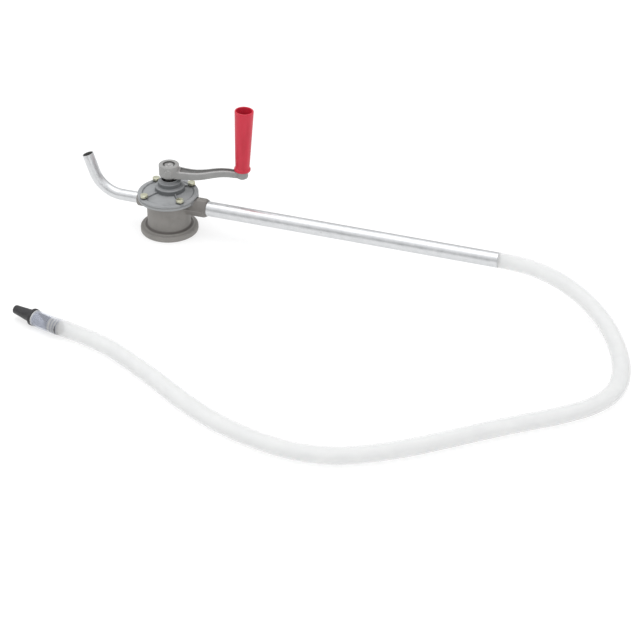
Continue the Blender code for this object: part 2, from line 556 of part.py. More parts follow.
def make_crank():
    """The crank: a hub, a channelled arm that dips and rises, and the end boss for the grip."""
    place = Matrix.Translation((SHAFT_X, SHAFT_Y, 0.0)) @ Matrix.Rotation(CRANK_ANGLE, 4, "Z")
    sideways = place @ Matrix.Rotation(math.pi / 2, 4, "X")
    middle_line = smooth_path([(u * MM, z * MM) for u, z in
                               [(6, 93.6), (14, 92.6), (25, 90.9), (38, 89.7), (54, 91.1), (72, 94.1),
                                (86, 94.5), (97, 93.1), (107, 92.6)]], 8 * MM)

    def half_width(reach):
        flare = 5 * MM * math.exp(-reach / (9 * MM))
        return 5.2 * MM + 4.4 * MM * (1 - reach / CRANK_RADIUS) ** 1.6 + flare

    def half_height(reach):
        return ARM_HALF_HEIGHT + ARM_HUB_EXTRA * (1 - reach / CRANK_RADIUS)

    def side_outline(low, high):
        return ([(u, z + low(u)) for u, z in middle_line]
                + [(u, z + high(u)) for u, z in reversed(middle_line)])

    def plan_outline(inset, start, end):
        stations = [start + (end - start) * k / 12 for k in range(13)]
        return ([(u, -(half_width(u) - inset)) for u in stations]
                + [(u, half_width(u) - inset) for u in reversed(stations)])

    arm = turned("crank_arm", [(0, HUB_TOP), (HUB_RADIUS - 1 * MM, HUB_TOP), (HUB_RADIUS, HUB_TOP - 1 * MM),
                               (HUB_RADIUS, HUB_BOTTOM + 2.4 * MM),
                               (HUB_RADIUS - 0.8 * MM, HUB_BOTTOM + 0.8 * MM),
                               (HUB_RADIUS - 2.4 * MM, HUB_BOTTOM),
                               (0, HUB_BOTTOM)], CAST_GREY, SHAFT, 32)
    web = plate("arm_side", side_outline(lambda u: -half_height(u), half_height), 40 * MM, sideways)
    web_plan = plate("arm_plan", plan_outline(0.0, 7 * MM, 107 * MM), 60 * MM,
                     place @ Matrix.Translation((0, 0, 92 * MM)))
    combine(web, web_plan, "INTERSECT")
    groove = plate("arm_groove", side_outline(lambda u: half_height(u) - GROOVE_DEPTH,
                                              lambda u: half_height(u) + 6 * MM), 40 * MM, sideways)
    groove_plan = plate("groove_plan", plan_outline(2.2 * MM, 16.5 * MM, 97 * MM), 60 * MM,
                        place @ Matrix.Translation((0, 0, 92 * MM)))
    combine(groove, groove_plan, "INTERSECT")
    cut(web, groove)
    join(arm, web)
    end_boss = turned("end_boss", [(0, END_BOSS_TOP), (END_BOSS_RADIUS, END_BOSS_TOP),
                                   (END_BOSS_RADIUS, END_BOSS_BOTTOM + 2.4 * MM),
                                   (END_BOSS_RADIUS - 0.8 * MM, END_BOSS_BOTTOM + 0.8 * MM),
                                   (6.6 * MM, END_BOSS_BOTTOM), (0, END_BOSS_BOTTOM)],
                      centre=GRIP, steps=28, collection=CUTTERS)
    lean(end_boss)
    join(arm, end_boss)
    pin_angle = CRANK_ANGLE - math.pi / 2
    join(arm, rod("pin_boss", around(5 * MM, pin_angle, CRANK_PIN_HEIGHT, SHAFT),
                  around(HUB_RADIUS + 1.6 * MM, pin_angle, CRANK_PIN_HEIGHT, SHAFT), 5.5 * MM, sides=24,
                  collection=CUTTERS))
    bore_radius = SHAFT_RADIUS + GAP
    cut(arm, turned("hub_bore", [(0, 110 * MM), (9 * MM, 110 * MM), (9 * MM, HUB_RECESS),
                                 (bore_radius, HUB_RECESS), (bore_radius, 80 * MM), (0, 80 * MM)],
                    centre=SHAFT, steps=24, collection=CUTTERS))
    cut(arm, rod("hub_pin_hole", around(-25 * MM, pin_angle, CRANK_PIN_HEIGHT, SHAFT),
                 around(25 * MM, pin_angle, CRANK_PIN_HEIGHT, SHAFT), 2.5 * MM + GAP, sides=16,
                 collection=CUTTERS))
    cut(arm, lean(turned("spindle_hole", disc_profile(SPINDLE_RADIUS + GAP, 80 * MM, 110 * MM), centre=GRIP,
                         steps=24, collection=CUTTERS)))
    rod("crank_pin", around(-15.2 * MM, pin_angle, CRANK_PIN_HEIGHT, SHAFT),
        around(17.2 * MM, pin_angle, CRANK_PIN_HEIGHT, SHAFT), 2.5 * MM, STEEL, 16)


def make_grip():
    """The hollow grip, open at the top, on a riveted spindle with a washer inside it."""
    grip = turned("grip", [(13.2 * MM, GRIP_TOP), (14 * MM, GRIP_TOP - 0.8 * MM), (10.3 * MM, 103.9 * MM),
                           (11.6 * MM, 103.4 * MM), (12.2 * MM, 102.6 * MM), (12.2 * MM, 99.6 * MM),
                           (11.5 * MM, GRIP_BOTTOM), (SPINDLE_RADIUS + 0.4 * MM, GRIP_BOTTOM),
                           (SPINDLE_RADIUS + 0.4 * MM, 110 * MM), (7.6 * MM, 110 * MM), (7.7 * MM, 113 * MM),
                           (11.4 * MM, GRIP_TOP)], RED_PLASTIC, GRIP, 28, True)
    washer = turned("spindle_washer", ring_profile(7.1 * MM, 4.4 * MM, 110.3 * MM, 111.3 * MM), ZINC, GRIP,
                    16, True)
    rivet_bottom = END_BOSS_BOTTOM - 1.7 * MM
    spindle = turned("grip_spindle", [(0, 116 * MM), (5.6 * MM, 116 * MM), (6.6 * MM, 115 * MM),
                                      (6.6 * MM, 111.6 * MM), (SPINDLE_RADIUS, 111.6 * MM),
                                      (SPINDLE_RADIUS, END_BOSS_BOTTOM - GAP),
                                      (5.8 * MM, END_BOSS_BOTTOM - GAP), (5.8 * MM, rivet_bottom + 0.7 * MM),
                                      (5 * MM, rivet_bottom), (0, rivet_bottom)], STEEL, GRIP, 16)
    for thing in (grip, washer, spindle):
        lean(thing)


make_body()
make_cover()
make_seals_and_bushes()
make_bolts()
make_rotor()
make_tubes()
make_hose()
make_crank()
make_grip()
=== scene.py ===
"""A hand-cranked rotary pump with its suction tube, clear hose and nozzle, finished for show."""
import math

import bpy
import numpy as np
from mathutils import Matrix, Vector


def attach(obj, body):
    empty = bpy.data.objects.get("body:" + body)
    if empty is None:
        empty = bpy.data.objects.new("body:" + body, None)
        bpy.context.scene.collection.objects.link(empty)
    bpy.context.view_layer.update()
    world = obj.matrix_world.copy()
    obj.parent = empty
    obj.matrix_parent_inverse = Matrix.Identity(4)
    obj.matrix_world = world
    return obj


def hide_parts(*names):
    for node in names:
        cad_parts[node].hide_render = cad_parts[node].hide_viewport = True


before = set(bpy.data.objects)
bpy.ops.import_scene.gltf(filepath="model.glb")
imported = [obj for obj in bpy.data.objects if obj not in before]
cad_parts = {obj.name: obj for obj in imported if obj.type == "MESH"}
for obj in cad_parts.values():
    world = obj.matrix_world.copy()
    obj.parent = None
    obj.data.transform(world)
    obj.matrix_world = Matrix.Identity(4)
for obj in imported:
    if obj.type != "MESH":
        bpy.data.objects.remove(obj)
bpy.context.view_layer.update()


# ---------------------------------------------------------------------------------------------
# The stand and the view
# A pale table lit through from below, as in a light tent, with a wide soft lamp above, two weaker
# ones from the left and the front, and a duller horizon that gives bare metal its dark lines.
# ---------------------------------------------------------------------------------------------
bpy.ops.object.select_all(action="DESELECT")
bpy.ops.object.camera_add(location=(1.05176, -2.30133, 1.46177),
                          rotation=(math.radians(57.2), 0.0, math.radians(19.48)))
camera = bpy.context.object
camera.data.lens = 109.7
camera.data.sensor_width = 36.0
camera.data.clip_end = 50.0
bpy.context.scene.camera = camera
bpy.context.scene.view_settings.view_transform = "Standard"


def hang_lamp(name, place, aim, width, depth, power):
    """A wide soft lamp that looks from its place towards a point."""
    bpy.ops.object.light_add(type="AREA", location=place)
    lamp = bpy.context.object
    lamp.name = name
    lamp.data.shape = "RECTANGLE"
    lamp.data.size = width
    lamp.data.size_y = depth
    lamp.data.energy = power
    lamp.rotation_euler = (Vector(aim) - Vector(place)).to_track_quat("-Z", "Y").to_euler()


pump_middle = (0.25, -0.15, 0.05)
hang_lamp("tent_top", (0.1, 0.1, 2.2), pump_middle, 2.6, 1.8, 15.0)
hang_lamp("tent_left", (-1.9, -1.0, 1.2), pump_middle, 1.2, 1.2, 4.0)
hang_lamp("tent_front", (1.5, -2.6, 0.7), pump_middle, 1.6, 0.9, 5.0)

world = bpy.data.worlds.new("tent")
bpy.context.scene.world = world
world.use_nodes = True
sky_nodes, sky_link = world.node_tree.nodes, world.node_tree.links.new
sky_split = sky_nodes.new("ShaderNodeSeparateXYZ")
sky_link(sky_nodes.new("ShaderNodeTexCoord").outputs["Generated"], sky_split.inputs["Vector"])
sky_ramp = sky_nodes.new("ShaderNodeValToRGB")
sky_ramp.color_ramp.elements.new(0.3)
sky_ramp.color_ramp.elements.new(0.55)
sky_glow = ((0.0, 0.32), (0.28, 0.50), (0.55, 0.88), (1.0, 1.0))
for element, (height, glow) in zip(sky_ramp.color_ramp.elements, sky_glow):
    element.position = height
    element.color = (glow * 0.99, glow * 0.992, glow, 1.0)
sky_link(sky_split.outputs["Z"], sky_ramp.inputs["Fac"])
sky_link(sky_ramp.outputs["Color"], sky_nodes["Background"].inputs["Color"])
sky_nodes["Background"].inputs["Strength"].default_value = 1.12

bpy.ops.object.select_all(action="DESELECT")
bpy.ops.mesh.primitive_grid_add(x_subdivisions=8, y_subdivisions=8, size=14.0, location=(0.3, 1.0, -0.0004))
floor = bpy.context.object
floor.name = "floor"
floor_white = bpy.data.materials.new("floor_white")
floor_white.use_nodes = True
floor_shader = floor_white.node_tree.nodes["Principled BSDF"]
floor_shader.inputs["Base Color"].default_value = (0.42, 0.42, 0.42, 1.0)
floor_shader.inputs["Roughness"].default_value = 0.9
floor_shader.inputs["Specular IOR Level"].default_value = 0.1
floor_shader.inputs["Emission Color"].default_value = (1.0, 1.0, 1.0, 1.0)
floor_shader.inputs["Emission Strength"].default_value = 0.62
floor.data.materials.append(floor_white)


# ---------------------------------------------------------------------------------------------
# The clear hose
# Flexible PVC, milky rather than glass clear, extruded with a 1.8 mm wall. It is pushed against
# the suction tube's end, sinks to the floor and lies there, pressed oval by its bends.
# ---------------------------------------------------------------------------------------------
MM = 0.001
hose_wall = 1.8 * MM
hose_round = 22.9 * MM
hose_sides = 48
hose_route = [
    (0.5049, 0, 0.046), (0.518, 0, 0.046), (0.541, 0, 0.0444), (0.566, -0.002, 0.041),
    (0.590, -0.007, 0.0364), (0.612, -0.0155, 0.0315), (0.633, -0.027, 0.0262),
    (0.652, -0.0415, 0.0213), (0.669, -0.059, 0.0173), (0.684, -0.0795, 0.0142),
    (0.697, -0.103, 0.0122), (0.7075, -0.128, 0.0116), (0.715, -0.153, 0.0116),
    (0.7195, -0.178, 0.0116), (0.7195, -0.203, 0.0116), (0.713, -0.229, 0.0116),
    (0.699, -0.254, 0.0116), (0.668, -0.286, 0.0116), (0.626, -0.319, 0.0116),
    (0.586, -0.351, 0.0116), (0.5475, -0.3835, 0.0116), (0.509, -0.415, 0.0116),
    (0.468, -0.443, 0.0116), (0.423, -0.465, 0.0116), (0.374, -0.473, 0.0116),
    (0.325, -0.468, 0.0116), (0.276, -0.454, 0.0116), (0.230, -0.4345, 0.0116),
    (0.186, -0.4105, 0.0116), (0.1426, -0.384, 0.0116), (0.0985, -0.3596, 0.0116),
    (0.054, -0.337, 0.0116), (0.0075, -0.3232, 0.0118), (-0.0375, -0.3142, 0.01225),
    (-0.053, -0.3109, 0.01225), (-0.0686, -0.3062, 0.01225),
]


def flowing_line(knots, spacing):
    """Points at an even spacing along a smooth curve through the knots."""
    knots = np.array(knots, dtype=float)
    lengths = np.linalg.norm(np.diff(knots, axis=0), axis=1)
    times = np.concatenate([[0.0], np.cumsum(lengths)])
    slopes = np.gradient(knots, times, axis=0)
    fine = []
    for k, length in enumerate(lengths):
        t = np.linspace(0.0, 1.0, 24, endpoint=False)[:, None]
        fine.append((2 * t**3 - 3 * t**2 + 1) * knots[k] + (t**3 - 2 * t**2 + t) * length * slopes[k]
                    + (3 * t**2 - 2 * t**3) * knots[k + 1] + (t**3 - t**2) * length * slopes[k + 1])
    fine = np.vstack(fine + [knots[-1:]])
    along = np.concatenate([[0.0], np.cumsum(np.linalg.norm(np.diff(fine, axis=0), axis=1))])
    marks = np.linspace(0.0, along[-1], int(round(along[-1] / spacing)) + 1)
    return np.stack([np.interp(marks, along, fine[:, axis]) for axis in range(3)], axis=1)


hose_line = np.vstack([hose_route[:1], flowing_line(hose_route[1:], 1 * MM)])
# every fourth point does for the hose, except over the nozzle's barbs
barbed_points = 56
coarse = np.arange(len(hose_line)) < len(hose_line) - barbed_points
hose_line = hose_line[~coarse | (np.arange(len(hose_line)) % 4 == 0)]
hose_steps = np.linalg.norm(np.diff(hose_line, axis=0), axis=1)
hose_along = np.concatenate([[0.0], np.cumsum(hose_steps)])
hose_length = float(hose_along[-1])

# how wide the oval is, at distances along the hose, both in millimetres
hose_widths = [(0, 22.0), (60, 22.4), (200, 23.4), (300, 24.8), (360, 25.8), (420, 24.0), (600, 23.2),
               (740, 23.4), (860, 24.8), (920, 27.0), (980, 27.2), (1040, 25.2), (1110, 23.2), (1230, 23.2),
               (1252, 23.8), (1283, 23.2)]
wide = np.interp(hose_along, *[np.array(column) * MM for column in zip(*hose_widths)])
tall = np.minimum(2 * hose_round - wide, 23 * MM) - 0.1 * MM
barbs = [34 * MM, 38.5 * MM, 43 * MM]
from_end = hose_length - hose_along
squeezed = 0.35 * MM * sum(np.exp(-((from_end - barb) / (1.1 * MM)) ** 2) for barb in barbs)
settled = np.interp(from_end, (0.07, 0.20), (0.0, 1.0)) * np.interp(hose_along, (0.20, 0.28), (0.0, 1.0))
route_height = 11.6 * MM
hose_line[:, 2] -= settled * (route_height - tall / 2 - 0.1 * MM)

heading = np.gradient(hose_line, axis=0)
heading /= np.linalg.norm(heading, axis=1)[:, None]
sideways = np.cross(heading, (0.0, 0.0, 1.0))
sideways /= np.linalg.norm(sideways, axis=1)[:, None]
upwards = np.cross(sideways, heading)
swing = np.linspace(0.0, 2 * math.pi, hose_sides, endpoint=False)
# the wall isn't quite even, as an extruded tube's never is
ripple = 0.12 * MM * np.sin(hose_along[:, None] * 41 + 2 * swing[None, :]) * np.sin(hose_along * 17)[:, None]
ripple += 0.07 * MM * np.sin(hose_along[:, None] * 133 + swing[None, :])
skins = []
for depth in (0.0, hose_wall):
    across = (wide / 2 + squeezed)[:, None] - depth + ripple
    upright = (tall / 2 + squeezed)[:, None] - depth + ripple * (depth > 0.0)
    skins.append(hose_line[:, None, :]
                 + (across * np.cos(swing))[:, :, None] * sideways[:, None, :]
                 + (upright * np.sin(swing))[:, :, None] * upwards[:, None, :])
hose_points = np.concatenate(skins).reshape(-1, 3)
rings = len(hose_line)


def hose_corner(skin, ring, side):
    """The number of a point on the hose, from its skin, its ring and its place round the ring."""
    return (skin * rings + ring) * hose_sides + side % hose_sides


hose_faces, hose_uvs = [], []
for skin in (0, 1):
    for ring in range(rings - 1):
        for side in range(hose_sides):
            corners = [(ring, side), (ring, side + 1), (ring + 1, side + 1), (ring + 1, side)]
            if skin == 0:
                corners.reverse()
            hose_faces.append([hose_corner(skin, r, s) for r, s in corners])
            hose_uvs += [(s / hose_sides, hose_along[r]) for r, s in corners]
for ring, order in ((0, 1), (rings - 1, -1)):
    for side in range(hose_sides):
        corners = [(0, side), (1, side), (1, side + 1), (0, side + 1)][::-order]
        hose_faces.append([hose_corner(skin, ring, s) for skin, s in corners])
        hose_uvs += [(s / hose_sides, hose_along[ring]) for skin, s in corners]

hose_mesh = bpy.data.meshes.new("clear_hose")
hose_mesh.from_pydata(hose_points.tolist(), [], hose_faces)
hose_map = hose_mesh.uv_layers.new(name="along")
hose_map.data.foreach_set("uv", np.array(hose_uvs, dtype=np.float32).ravel())
# where the nozzle's tail presses against the wall, the hose clears and its dark core shows
pressed = (np.clip((from_end - 1.2 * MM) / (1.2 * MM), 0.0, 1.0)
           * np.clip((31 * MM - from_end) / (3 * MM), 0.0, 1.0))
pressed += sum(np.exp(-((from_end - barb) / (0.9 * MM)) ** 2) for barb in barbs)
press_layer = hose_mesh.attributes.new("pressed", "FLOAT", "POINT")
press_layer.data.foreach_set("value", np.tile(np.repeat(pressed, hose_sides), 2).astype(np.float32))
hose = bpy.data.objects.new("clear_hose", hose_mesh)
bpy.context.collection.objects.link(hose)


def take_up(piece):
    """Select one piece alone and make it the active one."""
    bpy.ops.object.select_all(action="DESELECT")
    piece.select_set(True)
    bpy.context.view_layer.objects.active = piece


def smooth_over(piece, degrees):
    """Shade a piece smooth, except over corners sharper than this."""
    take_up(piece)
    bpy.ops.object.shade_smooth_by_angle(angle=math.radians(degrees))


smooth_over(hose, 50)


def start_finish(name):
    """A new material: its nodes, a way to link two sockets, and its shader."""
    finish = bpy.data.materials.new(name)
    finish.use_nodes = True
    nodes, links = finish.node_tree.nodes, finish.node_tree.links
    return finish, nodes, links.new, nodes["Principled BSDF"]


def noise_of(nodes, link, scale, detail=3.0, roughness=0.5, stretch=(1.0, 1.0, 1.0), where=None):
    """Noise on a coordinate socket, or over the piece itself. Returns its value socket."""
    if where is None:
        where = nodes.new("ShaderNodeTexCoord").outputs["Object"]
    turn = nodes.new("ShaderNodeMapping")
    turn.inputs["Scale"].default_value = stretch
    link(where, turn.inputs["Vector"])
    noise = nodes.new("ShaderNodeTexNoise")
    noise.inputs["Scale"].default_value = scale
    noise.inputs["Detail"].default_value = detail
    noise.inputs["Roughness"].default_value = roughness
    link(turn.outputs["Vector"], noise.inputs["Vector"])
    return noise.outputs["Fac"]


def graded(nodes, link, socket, stops):
    """A colour ramp over a value socket, from a list of (place, colour)."""
    ramp = nodes.new("ShaderNodeValToRGB")
    elements = ramp.color_ramp.elements
    while len(elements) < len(stops):
        elements.new(0.5)
    for element, (place, colour) in zip(elements, stops):
        element.position = place
        element.color = (*colour, 1.0)
    link(socket, ramp.inputs["Fac"])
    return ramp.outputs["Color"]


def ranged(nodes, link, socket, low, high, start=0.3, end=0.7):
    """A value socket moved from the range start to end into the range low to high. Noise mostly
    stays between 0.3 and 0.7."""
    ranger = nodes.new("ShaderNodeMapRange")
    for key, value in (("From Min", start), ("From Max", end), ("To Min", low), ("To Max", high)):
        ranger.inputs[key].default_value = value
    link(socket, ranger.inputs["Value"])
    return ranger.outputs["Result"]


def noted(nodes, layer_name):
    """The values kept in a piece's points under this name."""
    mark = nodes.new("ShaderNodeAttribute")
    mark.attribute_name = layer_name
    return mark.outputs["Fac"]


def laid_over(nodes, link, below, colour, amount):
    """One colour over another, as much as a value socket says."""
    mix = nodes.new("ShaderNodeMix")
    mix.data_type = "RGBA"
    mix.inputs["B"].default_value = (*colour, 1.0)
    link(amount, mix.inputs["Factor"])
    link(below, mix.inputs["A"])
    return mix.outputs["Result"]


def roughen(nodes, link, shader, heights):
    """Bump from a list of (value socket, depth in metres), one on another."""
    below = None
    for socket, depth in heights:
        bump = nodes.new("ShaderNodeBump")
        bump.inputs["Distance"].default_value = depth
        link(socket, bump.inputs["Height"])
        if below is not None:
            link(below, bump.inputs["Normal"])
        below = bump.outputs["Normal"]
    link(below, shader.inputs["Normal"])


milky_pvc, nodes, link, shader = start_finish("milky_pvc")
shader.inputs["IOR"].default_value = 1.48
shader.inputs["Specular IOR Level"].default_value = 0.25
along_hose = nodes.new("ShaderNodeUVMap")
along_hose.uv_map = "along"
die_lines = noise_of(nodes, link, 1.0, 4.0, stretch=(60.0, 1.5, 1.0), where=along_hose.outputs["UV"])
clouds = noise_of(nodes, link, 1.0, 3.0, stretch=(2.0, 22.0, 1.0), where=along_hose.outputs["UV"])
press_mark = noted(nodes, "pressed")
cloudy = graded(nodes, link, clouds, [(0.3, (0.84, 0.845, 0.845)), (0.7, (0.865, 0.867, 0.862))])
link(laid_over(nodes, link, cloudy, (0.70, 0.74, 0.86), press_mark), shader.inputs["Base Color"])
link(ranged(nodes, link, die_lines, 0.30, 0.42), shader.inputs["Roughness"])
milkiness = ranged(nodes, link, clouds, 0.42, 0.46)
clearing = nodes.new("ShaderNodeMath")
clearing.operation = "MULTIPLY_ADD"
clearing.inputs[1].default_value = -0.14
link(press_mark, clearing.inputs[0])
link(milkiness, clearing.inputs[2])
link(clearing.outputs["Value"], shader.inputs["Alpha"])
roughen(nodes, link, shader, [(die_lines, 0.08 * MM), (clouds, 0.15 * MM)])
hose_mesh.materials.append(milky_pvc)

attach(hose, "root")
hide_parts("hose")


# ---------------------------------------------------------------------------------------------
# The suction nozzle
# One injection moulding in black plastic: a tapered tip, a collar the hose is pushed up to, and
# a barbed tail inside the hose. It is turned in code as its mould was, then laid along the hose.
# ---------------------------------------------------------------------------------------------
def turn_outline(name, outline, steps=96):
    """Spin an outline, (radius, height) in millimetres, round the upright axis through the origin."""
    outline = [(r * MM, z * MM) for r, z in outline]
    bpy.ops.object.select_all(action="DESELECT")
    bpy.ops.mesh.primitive_plane_add(size=2 * MM)
    piece = bpy.context.object
    piece.name = name
    bpy.ops.object.mode_set(mode="EDIT")
    bpy.ops.mesh.merge(type="CENTER")
    bpy.ops.transform.translate(value=(outline[0][0], 0.0, outline[0][1]))
    for (r0, z0), (r1, z1) in zip(outline, outline[1:]):
        bpy.ops.mesh.extrude_region_move(TRANSFORM_OT_translate={"value": (r1 - r0, 0.0, z1 - z0)})
    bpy.ops.mesh.select_all(action="SELECT")
    bpy.ops.mesh.spin(steps=steps, angle=2 * math.pi, center=(0.0, 0.0, 0.0), axis=(0.0, 0.0, 1.0))
    bpy.ops.mesh.select_all(action="SELECT")
    bpy.ops.mesh.remove_doubles(threshold=0.005 * MM)
    bpy.ops.mesh.normals_make_consistent(inside=False)
    bpy.ops.object.mode_set(mode="OBJECT")
    return piece


def make_final(piece, kind, name, **settings):
    """Add a modifier with these settings and apply it."""
    take_up(piece)
    step = piece.modifiers.new(name, kind)
    for key, value in settings.items():
        setattr(step, key, value)
    bpy.ops.object.modifier_apply(modifier=step.name)


def ease_edges(piece, width, segments=3, degrees=32):
    """Round every corner sharper than this by a small radius."""
    make_final(piece, "BEVEL", "eased_edges", width=width, segments=segments, limit_method="ANGLE",
               angle_limit=math.radians(degrees), harden_normals=False)


def put_down(piece, place=(0.0, 0.0, 0.0), turn=(0.0, 0.0, 0.0)):
    """Move a piece to its place, and bring its origin back to the middle of the pump's base."""
    piece.location = place
    piece.rotation_euler = turn
    take_up(piece)
    bpy.ops.object.transform_apply(location=True, rotation=True, scale=True)


barb_outline = []
for low in (-34, -38.5, -43):
    barb_outline += [(9.8, low), (8.6, low - 3.8)]
nozzle_outline = [(5.4, 37.5), (5.9, 37.3), (6.2, 36.6), (7.5, 22), (9.1, 7.2), (9.6, 6), (11.3, 5.1),
                  (12.1, 4.3), (12.1, 0.7), (11.3, 0.0), (9.3, -0.2), (9.2, -31.5)] + barb_outline + [
                  (8.0, -47.4), (6.6, -47.4), (6.4, -45), (5.2, 0), (3.7, 28), (3.7, 36.4), (4.5, 37.5),
                  (5.4, 37.5)]
nozzle = turn_outline("suction_nozzle", nozzle_outline)
ease_edges(nozzle, 0.25 * MM, 2, 28)
hose_end = Vector(hose_line[-1])
nozzle_heading = Vector((hose_end.x - hose_line[-3][0], hose_end.y - hose_line[-3][1], 0.0)).normalized()
put_down(nozzle, hose_end + nozzle_heading * 0.5 * MM, nozzle_heading.to_track_quat("Z", "Y").to_euler())
smooth_over(nozzle, 35)

black_moulding, nodes, link, shader = start_finish("black_moulding")
shader.inputs["Specular IOR Level"].default_value = 0.42
spark_grain = noise_of(nodes, link, 2600.0, 2.0)
handling = noise_of(nodes, link, 90.0, 4.0)
link(graded(nodes, link, handling, [(0.35, (0.018, 0.018, 0.020)), (0.7, (0.036, 0.035, 0.038))]),
     shader.inputs["Base Color"])
link(ranged(nodes, link, handling, 0.34, 0.55), shader.inputs["Roughness"])
roughen(nodes, link, shader, [(spark_grain, 0.03 * MM), (handling, 0.06 * MM)])
nozzle.data.materials.append(black_moulding)
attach(nozzle, "root")
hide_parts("nozzle")


# ---------------------------------------------------------------------------------------------
# The pump's body
# A sand casting in aluminium alloy under warm grey paint: a wide foot, a bored chamber, a flange
# for the cover, and two bosses bored for the tubes. Its corners are soft, as its mould left them.
# ---------------------------------------------------------------------------------------------
def lay_rod(name, start, end, radius, sides=96):
    """A plain round bar from one point to another, to add to a casting or to bore it with."""
    start, end = Vector(start), Vector(end)
    bpy.ops.object.select_all(action="DESELECT")
    bpy.ops.mesh.primitive_cylinder_add(vertices=sides, radius=radius, depth=(end - start).length,
                                        location=(start + end) / 2,
                                        rotation=(end - start).to_track_quat("Z", "Y").to_euler())
    bar = bpy.context.object
    bar.name = name
    bpy.ops.object.transform_apply(location=True, rotation=True, scale=True)
    return bar


def lay_block(name, size, place, turn=(0.0, 0.0, 0.0)):
    """A plain square block at a place, to add to a casting or to cut with."""
    bpy.ops.object.select_all(action="DESELECT")
    bpy.ops.mesh.primitive_cube_add(size=1.0)
    block = bpy.context.object
    block.name = name
    block.scale = size
    put_down(block, place, turn)
    return block


def work_into(piece, tool, operation):
    """Add a tool shape to a piece, or take it away, and drop the tool."""
    make_final(piece, "BOOLEAN", operation.lower(), operation=operation, object=tool, solver="EXACT")
    bpy.data.objects.remove(tool, do_unlink=True)


def soften_casting(piece, grain, passes):
    """Run all corners together as in a sand mould, with a skin of small even faces."""
    make_final(piece, "REMESH", "skin", mode="VOXEL", voxel_size=grain, use_smooth_shade=True)
    make_final(piece, "SMOOTH", "soft_corners", factor=0.5, iterations=passes)
    bpy.ops.object.shade_smooth()


def note_corners(piece, gain, spread):
    """Keep in each point how far it stands out: above a half on edges, below a half in corners."""
    mesh = piece.data
    count = len(mesh.vertices)
    places = np.empty(count * 3)
    mesh.vertices.foreach_get("co", places)
    places = places.reshape(-1, 3)
    normals = np.empty(count * 3)
    mesh.vertices.foreach_get("normal", normals)
    normals = normals.reshape(-1, 3)
    pairs = np.empty(len(mesh.edges) * 2, dtype=np.int64)
    mesh.edges.foreach_get("vertices", pairs)
    one, other = pairs.reshape(-1, 2).T
    degree = np.maximum(np.bincount(one, minlength=count) + np.bincount(other, minlength=count), 1)

    def around_each(values):
        return (np.bincount(one, weights=values[other], minlength=count)
                + np.bincount(other, weights=values[one], minlength=count)) / degree

    middle = np.stack([around_each(places[:, axis]) for axis in range(3)], axis=1)
    stands_out = ((places - middle) * normals).sum(axis=1) * gain
    for _ in range(spread):
        stands_out = (stands_out + around_each(stands_out)) / 2
    layer = mesh.attributes.new("corners", "FLOAT", "POINT")
    layer.data.foreach_set("value", np.clip(0.5 + stands_out, 0.0, 1.0).astype(np.float32))


body_outline = [(0, 0), (41.6, 0), (42.6, 0.4), (43, 1.4), (43, 6.4), (42.5, 7.8), (41, 8.6), (37.5, 8.8),
                (36.9, 9.9), (36.2, 10.4), (33.4, 10.5), (32.5, 11.4), (32.1, 14), (32.2, 30), (32.4, 49),
                (32.6, 53), (33.4, 53.8), (44.2, 53.8), (45, 54.5), (45, 58.25), (44.9, 58.3),
                (28.5, 58.3), (28.5, 11), (9.3, 11), (9.3, 4.5), (0, 4.5)]
pump_body = turn_outline("body_casting", body_outline, 128)
inlet_height = 46 * MM
outlet_height = 44 * MM
# the shaft stands a little off the chamber's axis, in millimetres
shaft_x, shaft_y = 1.4, 4.3
shaft_place = Vector((shaft_x * MM, shaft_y * MM, 0.0))
boss_side = [(0, 29.5), (14.2, 29.5), (14.2, 58.2), (13.7, 60), (11.9, 63.4), (0, 63.4)]
inlet_boss = turn_outline("inlet_boss", boss_side)
put_down(inlet_boss, (0.0, 0.0, inlet_height), (0.0, math.radians(90), 0.0))
above_flange = lay_rod("above_flange", (0, 0, 57.6 * MM), (0, 0, 80 * MM), 46.2 * MM)
work_into(inlet_boss, above_flange, "DIFFERENCE")
work_into(pump_body, inlet_boss, "UNION")
for side in (-1, 1):
    parting_ridge = lay_rod("parting_ridge", (30 * MM, side * 13.9 * MM, inlet_height),
                            (59.5 * MM, side * 13.9 * MM, inlet_height), 1.3 * MM, 16)
    work_into(pump_body, parting_ridge, "UNION")
outlet_boss = lay_rod("outlet_boss", (-48 * MM, 0, outlet_height), (-29.5 * MM, 0, outlet_height),
                      11.5 * MM)
ease_edges(outlet_boss, 2.4 * MM, 4)
work_into(pump_body, outlet_boss, "UNION")
for start, end, height, radius in ((34, 70, inlet_height, 11.2), (15, 40, inlet_height, 9.0),
                                   (-33, -60, outlet_height, 8.6), (-15, -40, outlet_height, 6.2)):
    bore = lay_rod("bore", (start * MM, 0, height), (end * MM, 0, height), radius * MM)
    work_into(pump_body, bore, "DIFFERENCE")
journal_pocket = lay_rod("journal_pocket", shaft_place + Vector((0, 0, 4.5 * MM)),
                         shaft_place + Vector((0, 0, 20 * MM)), 9.3 * MM)
work_into(pump_body, journal_pocket, "DIFFERENCE")
bolt_circle = 38.8 * MM
bolt_angles = [math.radians(49.6 + 90 * k) for k in range(4)]
bolt_places = [(bolt_circle * math.cos(angle), bolt_circle * math.sin(angle)) for angle in bolt_angles]


def bore_for_bolts(piece, top):
    """Clear holes for the four bolts, up to a height."""
    for x, y in bolt_places:
        work_into(piece, lay_rod("bolt_hole", (x, y, 52 * MM), (x, y, top), 3.4 * MM, 32), "DIFFERENCE")


bore_for_bolts(pump_body, 60 * MM)
soften_casting(pump_body, 0.75 * MM, 5)
note_corners(pump_body, 1400.0, 2)


